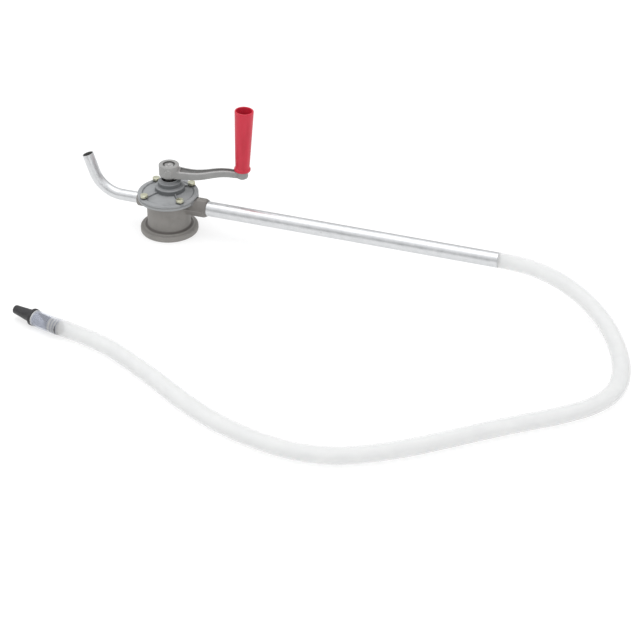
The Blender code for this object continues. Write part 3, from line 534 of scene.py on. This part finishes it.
def casting_paint(name, base, worn, shade_colour, grain_depth, roughness, second=None):
    """Paint over a casting: a sandy grain, a thin bright rub on the edges, and painted shade that
    darkens it towards the shade colour in its concave corners and where the points' shade marks say so.
    A second colour lies where the points' second marks say so, if there is one: a second
    coat on the body's flange, a painted highlight on the crank's rims."""
    finish, nodes, link, shader = start_finish(name)
    shader.inputs["Specular IOR Level"].default_value = 0.4
    blotches = noise_of(nodes, link, 55.0, 5.0, 0.6)
    sand = noise_of(nodes, link, 950.0, 3.0, 0.6)
    pits = noise_of(nodes, link, 320.0, 2.0, 0.4)
    lighter, darker = (tuple(c * shade for c in base) for shade in (1.10, 0.88))
    coat = graded(nodes, link, blotches, [(0.3, darker), (0.5, base), (0.72, lighter)])
    if second is not None:
        coat = laid_over(nodes, link, coat, second, noted(nodes, "sprayed_and_highlight"))
    corners = noted(nodes, "corners")
    rub_mask = nodes.new("ShaderNodeMath")
    rub_mask.operation = "MULTIPLY"
    link(ranged(nodes, link, corners, 0.0, 1.0, 0.56, 0.76), rub_mask.inputs[0])
    link(ranged(nodes, link, sand, 0.45, 1.0, 0.40, 0.62), rub_mask.inputs[1])
    coat = laid_over(nodes, link, coat, worn, rub_mask.outputs["Value"])
    # painted shade: the points' shade marks, then the concave corners, darken the paint towards the shade
    # colour
    coat = laid_over(nodes, link, coat, shade_colour, noted(nodes, "painted_shade"))
    coat = laid_over(nodes, link, coat, shade_colour, ranged(nodes, link, corners, 0.9, 0.0, 0.22, 0.46))
    link(coat, shader.inputs["Base Color"])
    link(ranged(nodes, link, blotches, roughness - 0.07, roughness + 0.09), shader.inputs["Roughness"])
    roughen(nodes, link, shader, [(sand, grain_depth), (pits, grain_depth * 1.4)])
    return finish


def note_points(piece, layer_name, amount):
    """Keep a value in each point of a piece, worked out from its place and its normal."""
    mesh = piece.data
    values = []
    for point in mesh.vertices:
        values.append(min(1.0, max(0.0, amount(point.co / MM, point.normal))))
    layer = mesh.attributes.new(layer_name, "FLOAT", "POINT")
    layer.data.foreach_set("value", values)


def fades(value, full, none):
    """From one where the value reaches full to nought where it reaches none."""
    return min(1.0, max(0.0, (value - none) / (full - none)))


def body_painted_shade(place, normal):
    """Painted shade under the flange, in the crease round the wall's foot, and on the inlet boss, more on its
    upper half.
    """
    reach = math.hypot(place.x, place.y)
    under_flange = fades(place.z, 53.2, 49.5) * fades(reach, 33.5, 36.5) * 0.75
    wall_foot = fades(abs(place.z - 11.2), 0.4, 2.4) * fades(reach, 35.4, 36.4) * 0.8
    on_boss = abs(place.y) < 15 and 30 < place.z < 59 and reach > 33.4
    boss = fades(place.x, 34, 31) * (0.4 if place.z > 46 else 0.28) * on_boss
    return max(under_flange, wall_foot, boss)


def body_sprayed(place, normal):
    """The flange's rim and top, where the cover's grey went over the body's."""
    return fades(place.z, 54.0, 53.3) * fades(math.hypot(place.x, place.y), 45.2, 45.9)


# the body's painted shade, kept in its points
note_points(pump_body, "painted_shade", body_painted_shade)
note_points(pump_body, "sprayed_and_highlight", body_sprayed)
# the fourth colour is the dark colour of the painted shade
body_paint = casting_paint("warm_grey_paint", (0.245, 0.234, 0.220), (0.41, 0.40, 0.38),
                           (0.075, 0.066, 0.06), 0.05 * MM, 0.52, second=(0.31, 0.32, 0.325))
pump_body.data.materials.append(body_paint)
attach(pump_body, "root")
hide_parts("pump_body")


# ---------------------------------------------------------------------------------------------
# The cover
# A thinner casting in bluish grey: a raised rim, a panel that rises to a stepped boss around the
# shaft, and four thin ribs from the boss to the bolts. It is bolted down over a fibre gasket.
# ---------------------------------------------------------------------------------------------
cover_outline = [(0, 64.5), (21.9, 64.5), (30, 62.9), (37.6, 61.2), (38.1, 61.5), (38.6, 62.5), (39.2, 62.7),
                 (44.3, 62.7), (45, 62.0), (45, 59.05), (44.9, 59), (28, 59), (28, 57.4), (0, 57.4)]
cover = turn_outline("cover_casting", cover_outline, 128)
boss_outline = [(0, 83.3), (12.4, 83.3), (12.8, 82.9), (12.9, 81.3), (13.6, 80.9), (16.3, 80.2), (17.1, 79.4),
                (17.2, 73.2), (17.8, 72.6), (21, 72.5), (21.9, 71.7), (22, 64.6), (23.4, 63), (23.4, 58.5),
                (0, 58.5)]
cover_boss = turn_outline("cover_boss", boss_outline, 128)
put_down(cover_boss, shaft_place)
work_into(cover, cover_boss, "UNION")
rib_start = 19.9 * MM
for x, y in bolt_places:
    pad = lay_rod("bolt_pad", (x, y, 59.6 * MM), (x, y, 62.8 * MM), 6 * MM, 48)
    work_into(cover, pad, "UNION")
    rib_run = Vector((x, y, 0.0)) - shaft_place
    outward = rib_run.normalized()
    rib_end = rib_run.length - 6.6 * MM
    rib_middle = shaft_place + outward * (rib_end + rib_start) / 2
    rib = lay_block("cover_rib", (rib_end - rib_start, 1.8 * MM, 3.6 * MM),
                    (rib_middle.x, rib_middle.y, 64.1 * MM),
                    (0.0, math.radians(12), math.atan2(outward.y, outward.x)))
    work_into(cover, rib, "UNION")
shaft_bore = turn_outline("shaft_bore", [(0, 90), (11.4, 90), (11.4, 78), (7.6, 78), (7.6, 74),
                                         (9.3, 74), (9.3, 50), (0, 50)])
put_down(shaft_bore, shaft_place)
work_into(cover, shaft_bore, "DIFFERENCE")
bore_for_bolts(cover, 66 * MM)
soften_casting(cover, 0.5 * MM, 3)
note_corners(cover, 2600.0, 2)


def cover_painted_shade(place, normal):
    """Painted shade on the boss's upright faces and top, beside the ribs, round the bolts and in the corner
    inside the rim.
    """
    from_shaft = math.hypot(place.x - shaft_x, place.y - shaft_y)
    boss_side = fades(from_shaft, 22.1, 23.2) * (1 - abs(normal.z)) * (place.z > 62)
    boss_top = fades(from_shaft, 17.6, 21) * 0.35
    inner_rim = fades(abs(math.hypot(place.x, place.y) - 37.6), 0.3, 1.5) * 0.55
    rib_sides = 0.0
    for x, y in bolt_places:
        run = Vector((x / MM - shaft_x, y / MM - shaft_y))
        across = abs((place.x - shaft_x) * run.y - (place.y - shaft_y) * run.x) / run.length
        ahead = (place.x - shaft_x) * run.x + (place.y - shaft_y) * run.y > 0
        beside = fades(abs(across - 1.5), 0.5, 1.4) * (from_shaft > 22) * (from_shaft < run.length - 6)
        rib_sides = max(rib_sides, beside * ahead)
    round_bolt = max(fades(math.hypot(place.x - x / MM, place.y - y / MM), 5.4, 7.4) for x, y in bolt_places)
    inside = inner_rim if place.z > 60 else 0.0
    return max(boss_side * 0.85, boss_top, inside, rib_sides * 0.7, round_bolt * 0.75)


# the cover's painted shade, kept in its points; the fourth colour below is its dark colour
note_points(cover, "painted_shade", cover_painted_shade)
cover_paint = casting_paint("blue_grey_paint", (0.315, 0.325, 0.332), (0.48, 0.49, 0.495),
                            (0.085, 0.09, 0.095), 0.03 * MM, 0.45)
cover.data.materials.append(cover_paint)
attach(cover, "root")
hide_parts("cover")


# ---------------------------------------------------------------------------------------------
# The cover's gasket
# A ring cut from grey fibre sheet, with four holes for the bolts. The cover squeezes it on the
# body's flange, and its edge shows as a thin line between them.
# ---------------------------------------------------------------------------------------------
gasket_outline = [(44.95, 58.95), (44.95, 58.35), (28.8, 58.35), (28.8, 58.95), (44.95, 58.95)]
gasket = turn_outline("cover_gasket_ring", gasket_outline, 128)
bore_for_bolts(gasket, 66 * MM)
ease_edges(gasket, 0.08 * MM, 2, 40)
smooth_over(gasket, 30)
grey_fibre, nodes, link, shader = start_finish("grey_fibre")
fibres = noise_of(nodes, link, 900.0, 4.0, stretch=(1.0, 1.0, 4.0))
link(graded(nodes, link, fibres, [(0.3, (0.22, 0.225, 0.225)), (0.7, (0.30, 0.305, 0.305))]),
     shader.inputs["Base Color"])
link(ranged(nodes, link, fibres, 0.75, 0.95), shader.inputs["Roughness"])
roughen(nodes, link, shader, [(fibres, 0.05 * MM)])
gasket.data.materials.append(grey_fibre)
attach(gasket, "root")
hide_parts("cover_gasket")


# ---------------------------------------------------------------------------------------------
# The cover's bolts and spring washers
# Hexagon-headed M6 bolts with a crowned head and a rolled thread, pale yellow from their zinc
# plating, each over a split washer whose two ends stand a little apart. The washers are near
# black, as blacked steel and also as painted shade under the heads.
# ---------------------------------------------------------------------------------------------
yellow_zinc, nodes, link, shader = start_finish("yellow_zinc")
shader.inputs["Metallic"].default_value = 0.85
iridescence = noise_of(nodes, link, 160.0, 3.0)
scuffs = noise_of(nodes, link, 1500.0, 3.0)
link(graded(nodes, link, iridescence, [(0.3, (0.50, 0.48, 0.33)), (0.5, (0.56, 0.56, 0.43)),
                                       (0.72, (0.54, 0.57, 0.48))]), shader.inputs["Base Color"])
link(ranged(nodes, link, scuffs, 0.34, 0.50), shader.inputs["Roughness"])
roughen(nodes, link, shader, [(scuffs, 0.02 * MM)])

bolt_head = lay_rod("cover_bolt", (0, 0, 64.8 * MM), (0, 0, 68.8 * MM), 6.1 * MM, 6)
crown = turn_outline("crown", [(0, 68.9), (4.4, 68.8), (5.3, 68.4), (6.2, 67.5), (6.2, 65.3),
                               (5.6, 64.8), (0, 64.8)], 64)
work_into(bolt_head, crown, "INTERSECT")
shank_outline = [(0, 65.5), (3, 65.5), (3, 62.5)]
for turn in range(8):
    shank_outline += [(2.95, 62.4 - turn), (2.55, 61.9 - turn)]
shank = turn_outline("shank", shank_outline + [(2.5, 54.6), (2.0, 54.2), (0, 54.2)], 48)
work_into(bolt_head, shank, "UNION")
ease_edges(bolt_head, 0.12 * MM, 2, 20)
smooth_over(bolt_head, 30)
bolt_head.data.materials.append(yellow_zinc)

washer_section = [(5.2, 64.35), (5.2, 63.25), (3.5, 63.25), (3.5, 64.35), (5.2, 64.35)]
washer = turn_outline("spring_washer", washer_section, 72)
split = lay_block("split", (4 * MM, 0.7 * MM, 4 * MM), (4.3 * MM, 0.0, 63.8 * MM),
                  (math.radians(18), 0.0, 0.0))
work_into(washer, split, "DIFFERENCE")
end_rise = 0.18 * MM
for vertex in washer.data.vertices:
    angle = math.atan2(vertex.co.y, vertex.co.x) % (2 * math.pi)
    vertex.co.z += end_rise * (angle / math.pi - 1.0)
ease_edges(washer, 0.15 * MM, 2, 40)
smooth_over(washer, 30)
# near black: blacked steel, and also painted shade under each bolt head
black_steel_and_shade, nodes, link, shader = start_finish("black_steel_and_shade")
shader.inputs["Metallic"].default_value = 0.7
oxide = noise_of(nodes, link, 700.0, 3.0)
link(graded(nodes, link, oxide, [(0.3, (0.07, 0.07, 0.065)), (0.7, (0.16, 0.155, 0.14))]),
     shader.inputs["Base Color"])
link(ranged(nodes, link, oxide, 0.4, 0.6), shader.inputs["Roughness"])
roughen(nodes, link, shader, [(oxide, 0.02 * MM)])
washer.data.materials.append(black_steel_and_shade)

for number, (x, y) in enumerate(bolt_places, 1):
    for model, name, turn, node in ((bolt_head, "bolt", 0.4 + 1.1 * number, f"cover_bolt_{number}"),
                                    (washer, "washer", 0.9 * number, f"spring_washer_{number}")):
        piece = bpy.data.objects.new(f"cover_{name}_{number}", model.data.copy())
        bpy.context.collection.objects.link(piece)
        put_down(piece, (x, y, 0.0), (0.0, 0.0, turn))
        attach(piece, "root")
        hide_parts(node)
for model in (bolt_head, washer):
    bpy.data.objects.remove(model, do_unlink=True)


# ---------------------------------------------------------------------------------------------
# The shaft and its lip seal
# A bright turned steel shaft with a centre drilled in its sawn end, through a rubber lip seal
# that is pressed into the cover's boss.
# ---------------------------------------------------------------------------------------------
turned_steel, nodes, link, shader = start_finish("turned_steel")
shader.inputs["Metallic"].default_value = 1.0
tool_marks = noise_of(nodes, link, 3.0, 4.0, stretch=(25.0, 25.0, 900.0))
smears = noise_of(nodes, link, 260.0, 4.0)
link(graded(nodes, link, smears, [(0.3, (0.30, 0.29, 0.28)), (0.7, (0.60, 0.60, 0.60))]),
     shader.inputs["Base Color"])
link(ranged(nodes, link, tool_marks, 0.28, 0.5), shader.inputs["Roughness"])
roughen(nodes, link, shader, [(tool_marks, 0.02 * MM), (smears, 0.05 * MM)])

shaft_outline = [(0, 104.3), (0.9, 105.1), (1.6, 105.9), (6.4, 105.9), (7, 105.3), (7, 57.5), (6, 57.5),
                 (6, 6), (5.4, 5.4), (0, 5.4)]
shaft = turn_outline("pump_shaft", shaft_outline, 72)
ease_edges(shaft, 0.15 * MM, 2, 30)
put_down(shaft, shaft_place)
smooth_over(shaft, 35)
shaft.data.materials.append(turned_steel)
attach(shaft, "crank")
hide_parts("shaft")

black_rubber, nodes, link, shader = start_finish("black_rubber")
shader.inputs["Specular IOR Level"].default_value = 0.3
bloom = noise_of(nodes, link, 420.0, 4.0)
link(graded(nodes, link, bloom, [(0.35, (0.012, 0.012, 0.012)), (0.7, (0.035, 0.034, 0.033))]),
     shader.inputs["Base Color"])
link(ranged(nodes, link, bloom, 0.6, 0.85), shader.inputs["Roughness"])
roughen(nodes, link, shader, [(bloom, 0.05 * MM)])

seal_outline = [(11.1, 80.6), (11.1, 78.3), (7.5, 78.3), (7.25, 79.3), (7.9, 80.2), (8.8, 79.6), (9.9, 79.6),
                (10.2, 80.6), (11.1, 80.6)]
lip_seal = turn_outline("lip_seal", seal_outline, 72)
ease_edges(lip_seal, 0.2 * MM, 2, 30)
put_down(lip_seal, shaft_place)
smooth_over(lip_seal, 35)
lip_seal.data.materials.append(black_rubber)
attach(lip_seal, "root")
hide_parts("shaft_seal")


# ---------------------------------------------------------------------------------------------
# The crank arm
# A casting in grey paint: a hub over the shaft, an arm that dips and rises with a channel along
# its top, and a boss for the grip. Its rims carry a painted highlight, and its channel painted shade.
# ---------------------------------------------------------------------------------------------
crank_turn = math.radians(17)
crank_radius = 107.7 * MM
arm_half_height = 4.9 * MM
boss_top = 98.4 * MM
spindle_lean = math.radians(2.8)
arm_profile = [(7, 93.5), (14, 92.6), (20, 91.6), (26, 90.8), (33, 90.0), (40, 89.7), (47, 90.2), (54, 91.1),
               (63, 92.7), (72, 94.1), (80, 94.6), (88, 94.3), (97, 93.1), (106.5, 92.6)]


def arm_half_width(reach):
    """Half the arm's width at a distance from the shaft: it flares into the hub."""
    flare = 5 * MM * math.exp(-reach / (9 * MM))
    return 5.2 * MM + 4.4 * MM * (1 - reach / crank_radius) ** 1.6 + flare


def arm_height(reach):
    """Half the arm's height at a distance from the shaft."""
    return arm_half_height + 1.3 * MM * (1 - reach / crank_radius)


def sweep_arm(name, stations, inset, low, high):
    """A square bar extruded from station to station along the arm, at its width and its height there."""
    u, z = stations[0]
    bottom, top = low(u * MM), high(u * MM)
    bpy.ops.object.select_all(action="DESELECT")
    bpy.ops.mesh.primitive_plane_add(size=1.0, location=(u * MM, 0.0, z * MM + (bottom + top) / 2),
                                     rotation=(0.0, math.radians(90), 0.0))
    bar = bpy.context.object
    bar.name = name
    bar.scale = (top - bottom, 2 * (arm_half_width(u * MM) - inset), 1.0)
    bpy.ops.object.transform_apply(location=True, rotation=True, scale=True)
    bpy.ops.object.mode_set(mode="EDIT")
    bpy.ops.mesh.select_all(action="SELECT")
    for (u0, z0), (u1, z1) in zip(stations, stations[1:]):
        was, now = u0 * MM, u1 * MM
        wider = (arm_half_width(now) - inset) / (arm_half_width(was) - inset)
        taller = (high(now) - low(now)) / (high(was) - low(was))
        middle_was, middle = z0 * MM + (low(was) + high(was)) / 2, z1 * MM + (low(now) + high(now)) / 2
        bpy.ops.mesh.extrude_region_move(
            TRANSFORM_OT_translate={"value": (now - was, 0.0, middle - middle_was)})
        bpy.ops.transform.resize(value=(1.0, wider, taller), center_override=(now, 0.0, middle))
    bpy.ops.mesh.select_all(action="SELECT")
    bpy.ops.mesh.normals_make_consistent(inside=False)
    bpy.ops.object.mode_set(mode="OBJECT")
    return bar


def lean_outward(piece, foot, sideways):
    """Lean a piece about a level line through the top of the arm's boss, as the spindle leans."""
    from_foot = Matrix.Translation(foot)
    piece.matrix_world = (from_foot @ Matrix.Rotation(spindle_lean, 4, sideways) @ from_foot.inverted()
                          @ Matrix.Translation((foot[0], foot[1], 0.0)))
    take_up(piece)
    bpy.ops.object.transform_apply(location=True, rotation=True, scale=True)
    return piece


hub_outline = [(0, 107.2), (13.6, 107.2), (14.6, 106.8), (15, 105.9), (15, 91.2), (14.3, 89.4), (12.8, 88.6),
               (0, 88.6)]
crank_arm = turn_outline("crank_casting", hub_outline, 96)
arm_bar = sweep_arm("arm_bar", arm_profile, 0.0, lambda u: -arm_height(u), arm_height)
ease_edges(arm_bar, 1.1 * MM, 3, 50)
channel = sweep_arm("channel", [(16.5, 92.2)] + [(u, z) for u, z in arm_profile if 17 < u < 98], 2.2 * MM,
                    lambda u: arm_height(u) - 2.9 * MM, lambda u: arm_height(u) + 6 * MM)
ease_edges(channel, 0.8 * MM, 2, 50)
work_into(arm_bar, channel, "DIFFERENCE")
work_into(crank_arm, arm_bar, "UNION")
grip_boss_outline = [(0, 98.4), (8.2, 98.4), (8.9, 97.8), (8.9, 89.6), (8.3, 87.9), (6.8, 87.1), (6, 87),
                     (0, 87)]
grip_boss = turn_outline("grip_boss", grip_boss_outline, 64)
arm_foot = (crank_radius, 0.0, boss_top)
lean_outward(grip_boss, arm_foot, (0.0, 1.0, 0.0))
work_into(crank_arm, grip_boss, "UNION")
pin_height = 98 * MM
pin_boss = lay_rod("pin_boss", (0, -5 * MM, pin_height), (0, -16.6 * MM, pin_height), 5.5 * MM, 48)
ease_edges(pin_boss, 0.9 * MM, 3)
work_into(crank_arm, pin_boss, "UNION")
hub_bore = turn_outline("hub_bore", [(0, 110), (9.4, 110), (9.0, 106.8), (9.0, 104.6), (7.3, 104.6),
                                     (7.3, 80), (0, 80)])
work_into(crank_arm, hub_bore, "DIFFERENCE")
work_into(crank_arm, lay_rod("pin_hole", (0, -14.6 * MM, pin_height), (0, 25 * MM, pin_height), 2.8 * MM, 32),
          "DIFFERENCE")
spindle_hole = lay_rod("spindle_hole", (0, 0, 80 * MM), (0, 0, 110 * MM), 4.3 * MM, 48)
work_into(crank_arm, lean_outward(spindle_hole, arm_foot, (0.0, 1.0, 0.0)), "DIFFERENCE")
soften_casting(crank_arm, 0.42 * MM, 3)


def arm_depths(place):
    """How far a point on the arm lies in from the arm's side and below its top, in millimetres."""
    top = np.interp(place.x, *zip(*arm_profile)) + arm_height(place.x * MM) / MM
    return arm_half_width(place.x * MM) / MM - abs(place.y), top - place.z


def crank_painted_shade(place, normal):
    """Painted shade in the channel along the arm, and in the ring round the shaft's end."""
    if not 16 < place.x < 98:
        return 0.75 * (math.hypot(place.x, place.y) < 9.3) * (104 < place.z < 106.9)
    from_edge, depth = arm_depths(place)
    return 0.55 * fades(from_edge, 2.4, 1.6) * fades(depth, 1.2, 0.4) * (depth < 3.4)


def crank_rim_highlight(place, normal):
    """A painted highlight along the two rims beside the channel."""
    if not 15 < place.x < 97:
        return 0.0
    from_edge, depth = arm_depths(place)
    return 0.8 * fades(from_edge, 1.7, 2.4) * fades(depth, 0.9, 2.2)


# painted shade in the channel and the hub's ring, kept in the arm's points
note_points(crank_arm, "painted_shade", crank_painted_shade)
# the rims' painted highlight, kept in the arm's points
note_points(crank_arm, "sprayed_and_highlight", crank_rim_highlight)
put_down(crank_arm, shaft_place, (0.0, 0.0, crank_turn))
note_corners(crank_arm, 2500.0, 2)
# the second colour is the rims' painted highlight, the fourth the dark colour of the painted shade
crank_paint = casting_paint("crank_grey_paint", (0.305, 0.305, 0.298), (0.66, 0.66, 0.65),
                            (0.060, 0.060, 0.058), 0.03 * MM, 0.42, second=(0.47, 0.47, 0.465))
crank_arm.data.materials.append(crank_paint)
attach(crank_arm, "crank")
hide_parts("crank_arm")


# ---------------------------------------------------------------------------------------------
# The pin through the hub, and the grip's spindle with its washer
# A slotted spring pin of rolled steel holds the hub on the shaft. The grip turns on a headed
# spindle that is riveted under the arm, with a plated washer under its head.
# ---------------------------------------------------------------------------------------------
pin_outline = [(1.2, -15.2), (1.2, 14.1), (2.1, 14.1), (2.5, 13.4), (2.5, -14.5), (2.1, -15.2), (1.2, -15.2)]
hub_pin = turn_outline("hub_pin", pin_outline, 40)
pin_slot = lay_block("pin_slot", (3 * MM, 0.5 * MM, 40 * MM), (2 * MM, 0.0, 0.0))
work_into(hub_pin, pin_slot, "DIFFERENCE")
pin_direction = Vector((math.cos(crank_turn - math.pi / 2), math.sin(crank_turn - math.pi / 2), 0.0))
put_down(hub_pin, shaft_place + Vector((0.0, 0.0, pin_height)),
         pin_direction.to_track_quat("Z", "Y").to_euler())
smooth_over(hub_pin, 35)
hub_pin.data.materials.append(turned_steel)
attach(hub_pin, "crank")
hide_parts("crank_pin")

grip_foot = shaft_place + Vector((crank_radius * math.cos(crank_turn), crank_radius * math.sin(crank_turn),
                                  boss_top))
across_arm = (-math.sin(crank_turn), math.cos(crank_turn), 0.0)
spindle_outline = [(0, 116), (4.6, 116), (5.8, 115.6), (6.6, 114.6), (6.6, 111.6), (4, 111.6), (4, 86.7),
                   (5.8, 86.7), (5.7, 86.1), (4.6, 85.4), (0, 85.3)]
spindle = turn_outline("grip_spindle_rivet", spindle_outline, 56)
ease_edges(spindle, 0.2 * MM, 2, 35)
lean_outward(spindle, grip_foot, across_arm)
smooth_over(spindle, 35)
spindle.data.materials.append(turned_steel)
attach(spindle, "crank")
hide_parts("grip_spindle")

washer_outline = [(7.1, 111.3), (7.1, 110.3), (4.4, 110.3), (4.4, 111.3), (7.1, 111.3)]
spindle_washer = turn_outline("grip_washer", washer_outline, 56)
ease_edges(spindle_washer, 0.15 * MM, 2, 35)
lean_outward(spindle_washer, grip_foot, across_arm)
smooth_over(spindle_washer, 35)
spindle_washer.data.materials.append(yellow_zinc)
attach(spindle_washer, "crank")
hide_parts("spindle_washer")


# ---------------------------------------------------------------------------------------------
# The grip
# A hollow red moulding, open at the top, that tapers down to a rounded collar. It turns on the
# spindle, whose head and washer hold it from inside.
# ---------------------------------------------------------------------------------------------
grip_outline = [(12.2, 196.4), (13.0, 196.3), (13.6, 195.9), (13.9, 195.2), (13.95, 194), (13.2, 174),
                (12.4, 152), (11.5, 128), (10.6, 108), (10.4, 104.8), (10.6, 104.1), (11.3, 103.7),
                (11.9, 103.1), (12.15, 102.3), (12.2, 101.2), (12.15, 100), (11.8, 99.2), (11.1, 98.8),
                (4.4, 98.8), (4.4, 110), (7.6, 110), (7.7, 113), (9.6, 150), (11.3, 194.5), (11.6, 196),
                (12.2, 196.4)]
grip = turn_outline("red_grip", grip_outline, 112)
ease_edges(grip, 0.3 * MM, 3, 35)
lean_outward(grip, grip_foot, across_arm)
smooth_over(grip, 40)

red_moulding, nodes, link, shader = start_finish("red_moulding")
shader.inputs["Specular IOR Level"].default_value = 0.42
shader.inputs["Coat Weight"].default_value = 0.08
flow = noise_of(nodes, link, 70.0, 4.0, stretch=(1.0, 1.0, 0.25))
fine_grain = noise_of(nodes, link, 1900.0, 2.0)
link(graded(nodes, link, flow, [(0.3, (0.53, 0.012, 0.036)), (0.5, (0.585, 0.018, 0.046)),
                                (0.72, (0.64, 0.028, 0.060))]), shader.inputs["Base Color"])
link(ranged(nodes, link, flow, 0.36, 0.50), shader.inputs["Roughness"])
roughen(nodes, link, shader, [(fine_grain, 0.02 * MM), (flow, 0.12 * MM)])
grip.data.materials.append(red_moulding)
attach(grip, "grip")
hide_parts("grip")


# ---------------------------------------------------------------------------------------------
# The suction tube
# A straight length of drawn aluminium tube with a 1 mm wall, pushed into the inlet boss. It is
# bare and satin, with faint lines along it, a punched dimple half way and a crimp near its end.
# ---------------------------------------------------------------------------------------------
def drawn_aluminium(name, stretch, rough):
    """Bare drawn tube: faint lines along it, a dull mottle where it has oxidised, and small nicks."""
    finish, nodes, link, shader = start_finish(name)
    shader.inputs["Metallic"].default_value = 1.0
    lines = noise_of(nodes, link, 420.0, 3.0, stretch=stretch)
    mottle = noise_of(nodes, link, 130.0, 6.0, 0.65)
    nicks = noise_of(nodes, link, 900.0, 2.0, 0.5)
    link(graded(nodes, link, mottle, [(0.3, (0.60, 0.61, 0.62)), (0.5, (0.66, 0.67, 0.68)),
                                      (0.75, (0.73, 0.73, 0.74))]), shader.inputs["Base Color"])
    link(ranged(nodes, link, mottle, rough, rough + 0.1), shader.inputs["Roughness"])
    roughen(nodes, link, shader, [(lines, 0.03 * MM), (mottle, 0.10 * MM), (nicks, 0.015 * MM)])
    return finish


tube_outline = [(10, 34.4), (10, 504.6), (10.7, 504.6), (11, 504.2), (11, 34.8), (10.7, 34.4), (10, 34.4)]
suction_tube = turn_outline("suction_tube_drawn", tube_outline, 128)
put_down(suction_tube, (0.0, 0.0, inlet_height), (0.0, math.radians(90), 0.0))
# a punch: how far along the tube, how many degrees below its side, and the radius of its tip
for along, below, size in ((243, 0, 1.9), (497, 23, 2.6), (493.5, 23, 1.6)):
    way = Vector((0.0, -math.cos(math.radians(below)), -math.sin(math.radians(below))))
    bpy.ops.object.select_all(action="DESELECT")
    bpy.ops.mesh.primitive_ico_sphere_add(subdivisions=4, radius=size * MM)
    punch = bpy.context.object
    put_down(punch, Vector((along * MM, 0.0, inlet_height)) + way * (11 * MM + size * MM * 0.62))
    work_into(suction_tube, punch, "DIFFERENCE")
smooth_over(suction_tube, 30)
suction_tube.data.materials.append(drawn_aluminium("drawn_aluminium_straight", (0.02, 1.0, 1.0), 0.31))
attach(suction_tube, "root")
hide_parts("suction_tube")


# ---------------------------------------------------------------------------------------------
# The spout
# The same aluminium in a thinner tube, bent on a former so that it rises from the outlet, and
# sawn off square at its mouth.
# ---------------------------------------------------------------------------------------------
spout_radius = 8.4 * MM
spout_start = -33.4 * MM
bend_start = -75 * MM
bend_radius = 45 * MM
bend_turn = math.radians(71.5)
last_run = 30.2 * MM
bpy.ops.object.select_all(action="DESELECT")
bpy.ops.mesh.primitive_circle_add(vertices=96, radius=spout_radius, rotation=(0.0, math.radians(-90), 0.0),
                                  location=(spout_start, 0.0, outlet_height))
spout = bpy.context.object
spout.name = "spout_tube_bent"
bpy.ops.object.transform_apply(location=True, rotation=True, scale=True)
bpy.ops.object.mode_set(mode="EDIT")
bpy.ops.mesh.select_all(action="SELECT")
bpy.ops.mesh.extrude_region_move(TRANSFORM_OT_translate={"value": (bend_start - spout_start, 0.0, 0.0)})
bpy.ops.mesh.spin(steps=36, angle=-bend_turn, axis=(0, 1, 0),
                  center=(bend_start, 0.0, outlet_height + bend_radius))
bpy.ops.mesh.extrude_region_move(TRANSFORM_OT_translate={
    "value": (-last_run * math.cos(bend_turn), 0.0, last_run * math.sin(bend_turn))})
bpy.ops.mesh.select_all(action="SELECT")
bpy.ops.mesh.remove_doubles(threshold=0.005 * MM)
bpy.ops.mesh.normals_make_consistent(inside=False)
bpy.ops.object.mode_set(mode="OBJECT")
# The bore is near black with a mottle: painted shade down the inside of the tube.
shaded_bore, nodes, link, shader = start_finish("shaded_bore")
bore_mottle = noise_of(nodes, link, 210.0, 4.0)
link(graded(nodes, link, bore_mottle, [(0.3, (0.045, 0.044, 0.042)), (0.7, (0.11, 0.11, 0.105))]),
     shader.inputs["Base Color"])
link(ranged(nodes, link, bore_mottle, 0.55, 0.8), shader.inputs["Roughness"])
roughen(nodes, link, shader, [(bore_mottle, 0.08 * MM)])
spout.data.materials.append(drawn_aluminium("drawn_aluminium_bent", (0.05, 1.0, 0.3), 0.34))
spout.data.materials.append(shaded_bore)
make_final(spout, "SOLIDIFY", "wall", thickness=1.2 * MM, offset=-1.0, material_offset=1)
ease_edges(spout, 0.3 * MM, 2, 50)
smooth_over(spout, 35)
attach(spout, "root")
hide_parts("spout_tube")


# ---------------------------------------------------------------------------------------------
# Inside the pump
# An iron rotor pinned to the shaft carries four laminate vanes on small springs. The shaft runs
# in two brass bushes. These keep their plain machined shapes.
# ---------------------------------------------------------------------------------------------
def machined(name, metallic, dull, bright, scale, roughness, depth):
    """A plain machined surface with a slight mottle and tool marks."""
    finish, nodes, link, shader = start_finish(name)
    shader.inputs["Metallic"].default_value = metallic
    mottle = noise_of(nodes, link, scale, 4.0)
    marks = noise_of(nodes, link, scale * 4, 3.0, stretch=(0.1, 0.1, 3.0))
    link(graded(nodes, link, mottle, [(0.32, dull), (0.7, bright)]), shader.inputs["Base Color"])
    link(ranged(nodes, link, mottle, roughness - 0.06, roughness + 0.1), shader.inputs["Roughness"])
    roughen(nodes, link, shader, [(marks, depth), (mottle, depth * 2)])
    return finish


def dress(finish, *names):
    """Give nodes that keep their plain shape a finish."""
    for name in names:
        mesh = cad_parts[name].data
        mesh.materials.clear()
        mesh.materials.append(finish)


dress(machined("rotor_cast_iron", 0.8, (0.12, 0.12, 0.12), (0.26, 0.26, 0.26), 180.0, 0.5, 0.04 * MM),
      "rotor")
dress(machined("bush_brass", 1.0, (0.55, 0.38, 0.15), (0.78, 0.58, 0.26), 140.0, 0.32, 0.02 * MM),
      "upper_bush", "lower_bush")
dress(machined("vane_laminate", 0.0, (0.07, 0.05, 0.035), (0.15, 0.11, 0.08), 300.0, 0.5, 0.03 * MM),
      "vane_1", "vane_2", "vane_3", "vane_4")
dress(turned_steel, "rotor_pin", "vane_spring_1", "vane_spring_2", "vane_spring_3", "vane_spring_4")
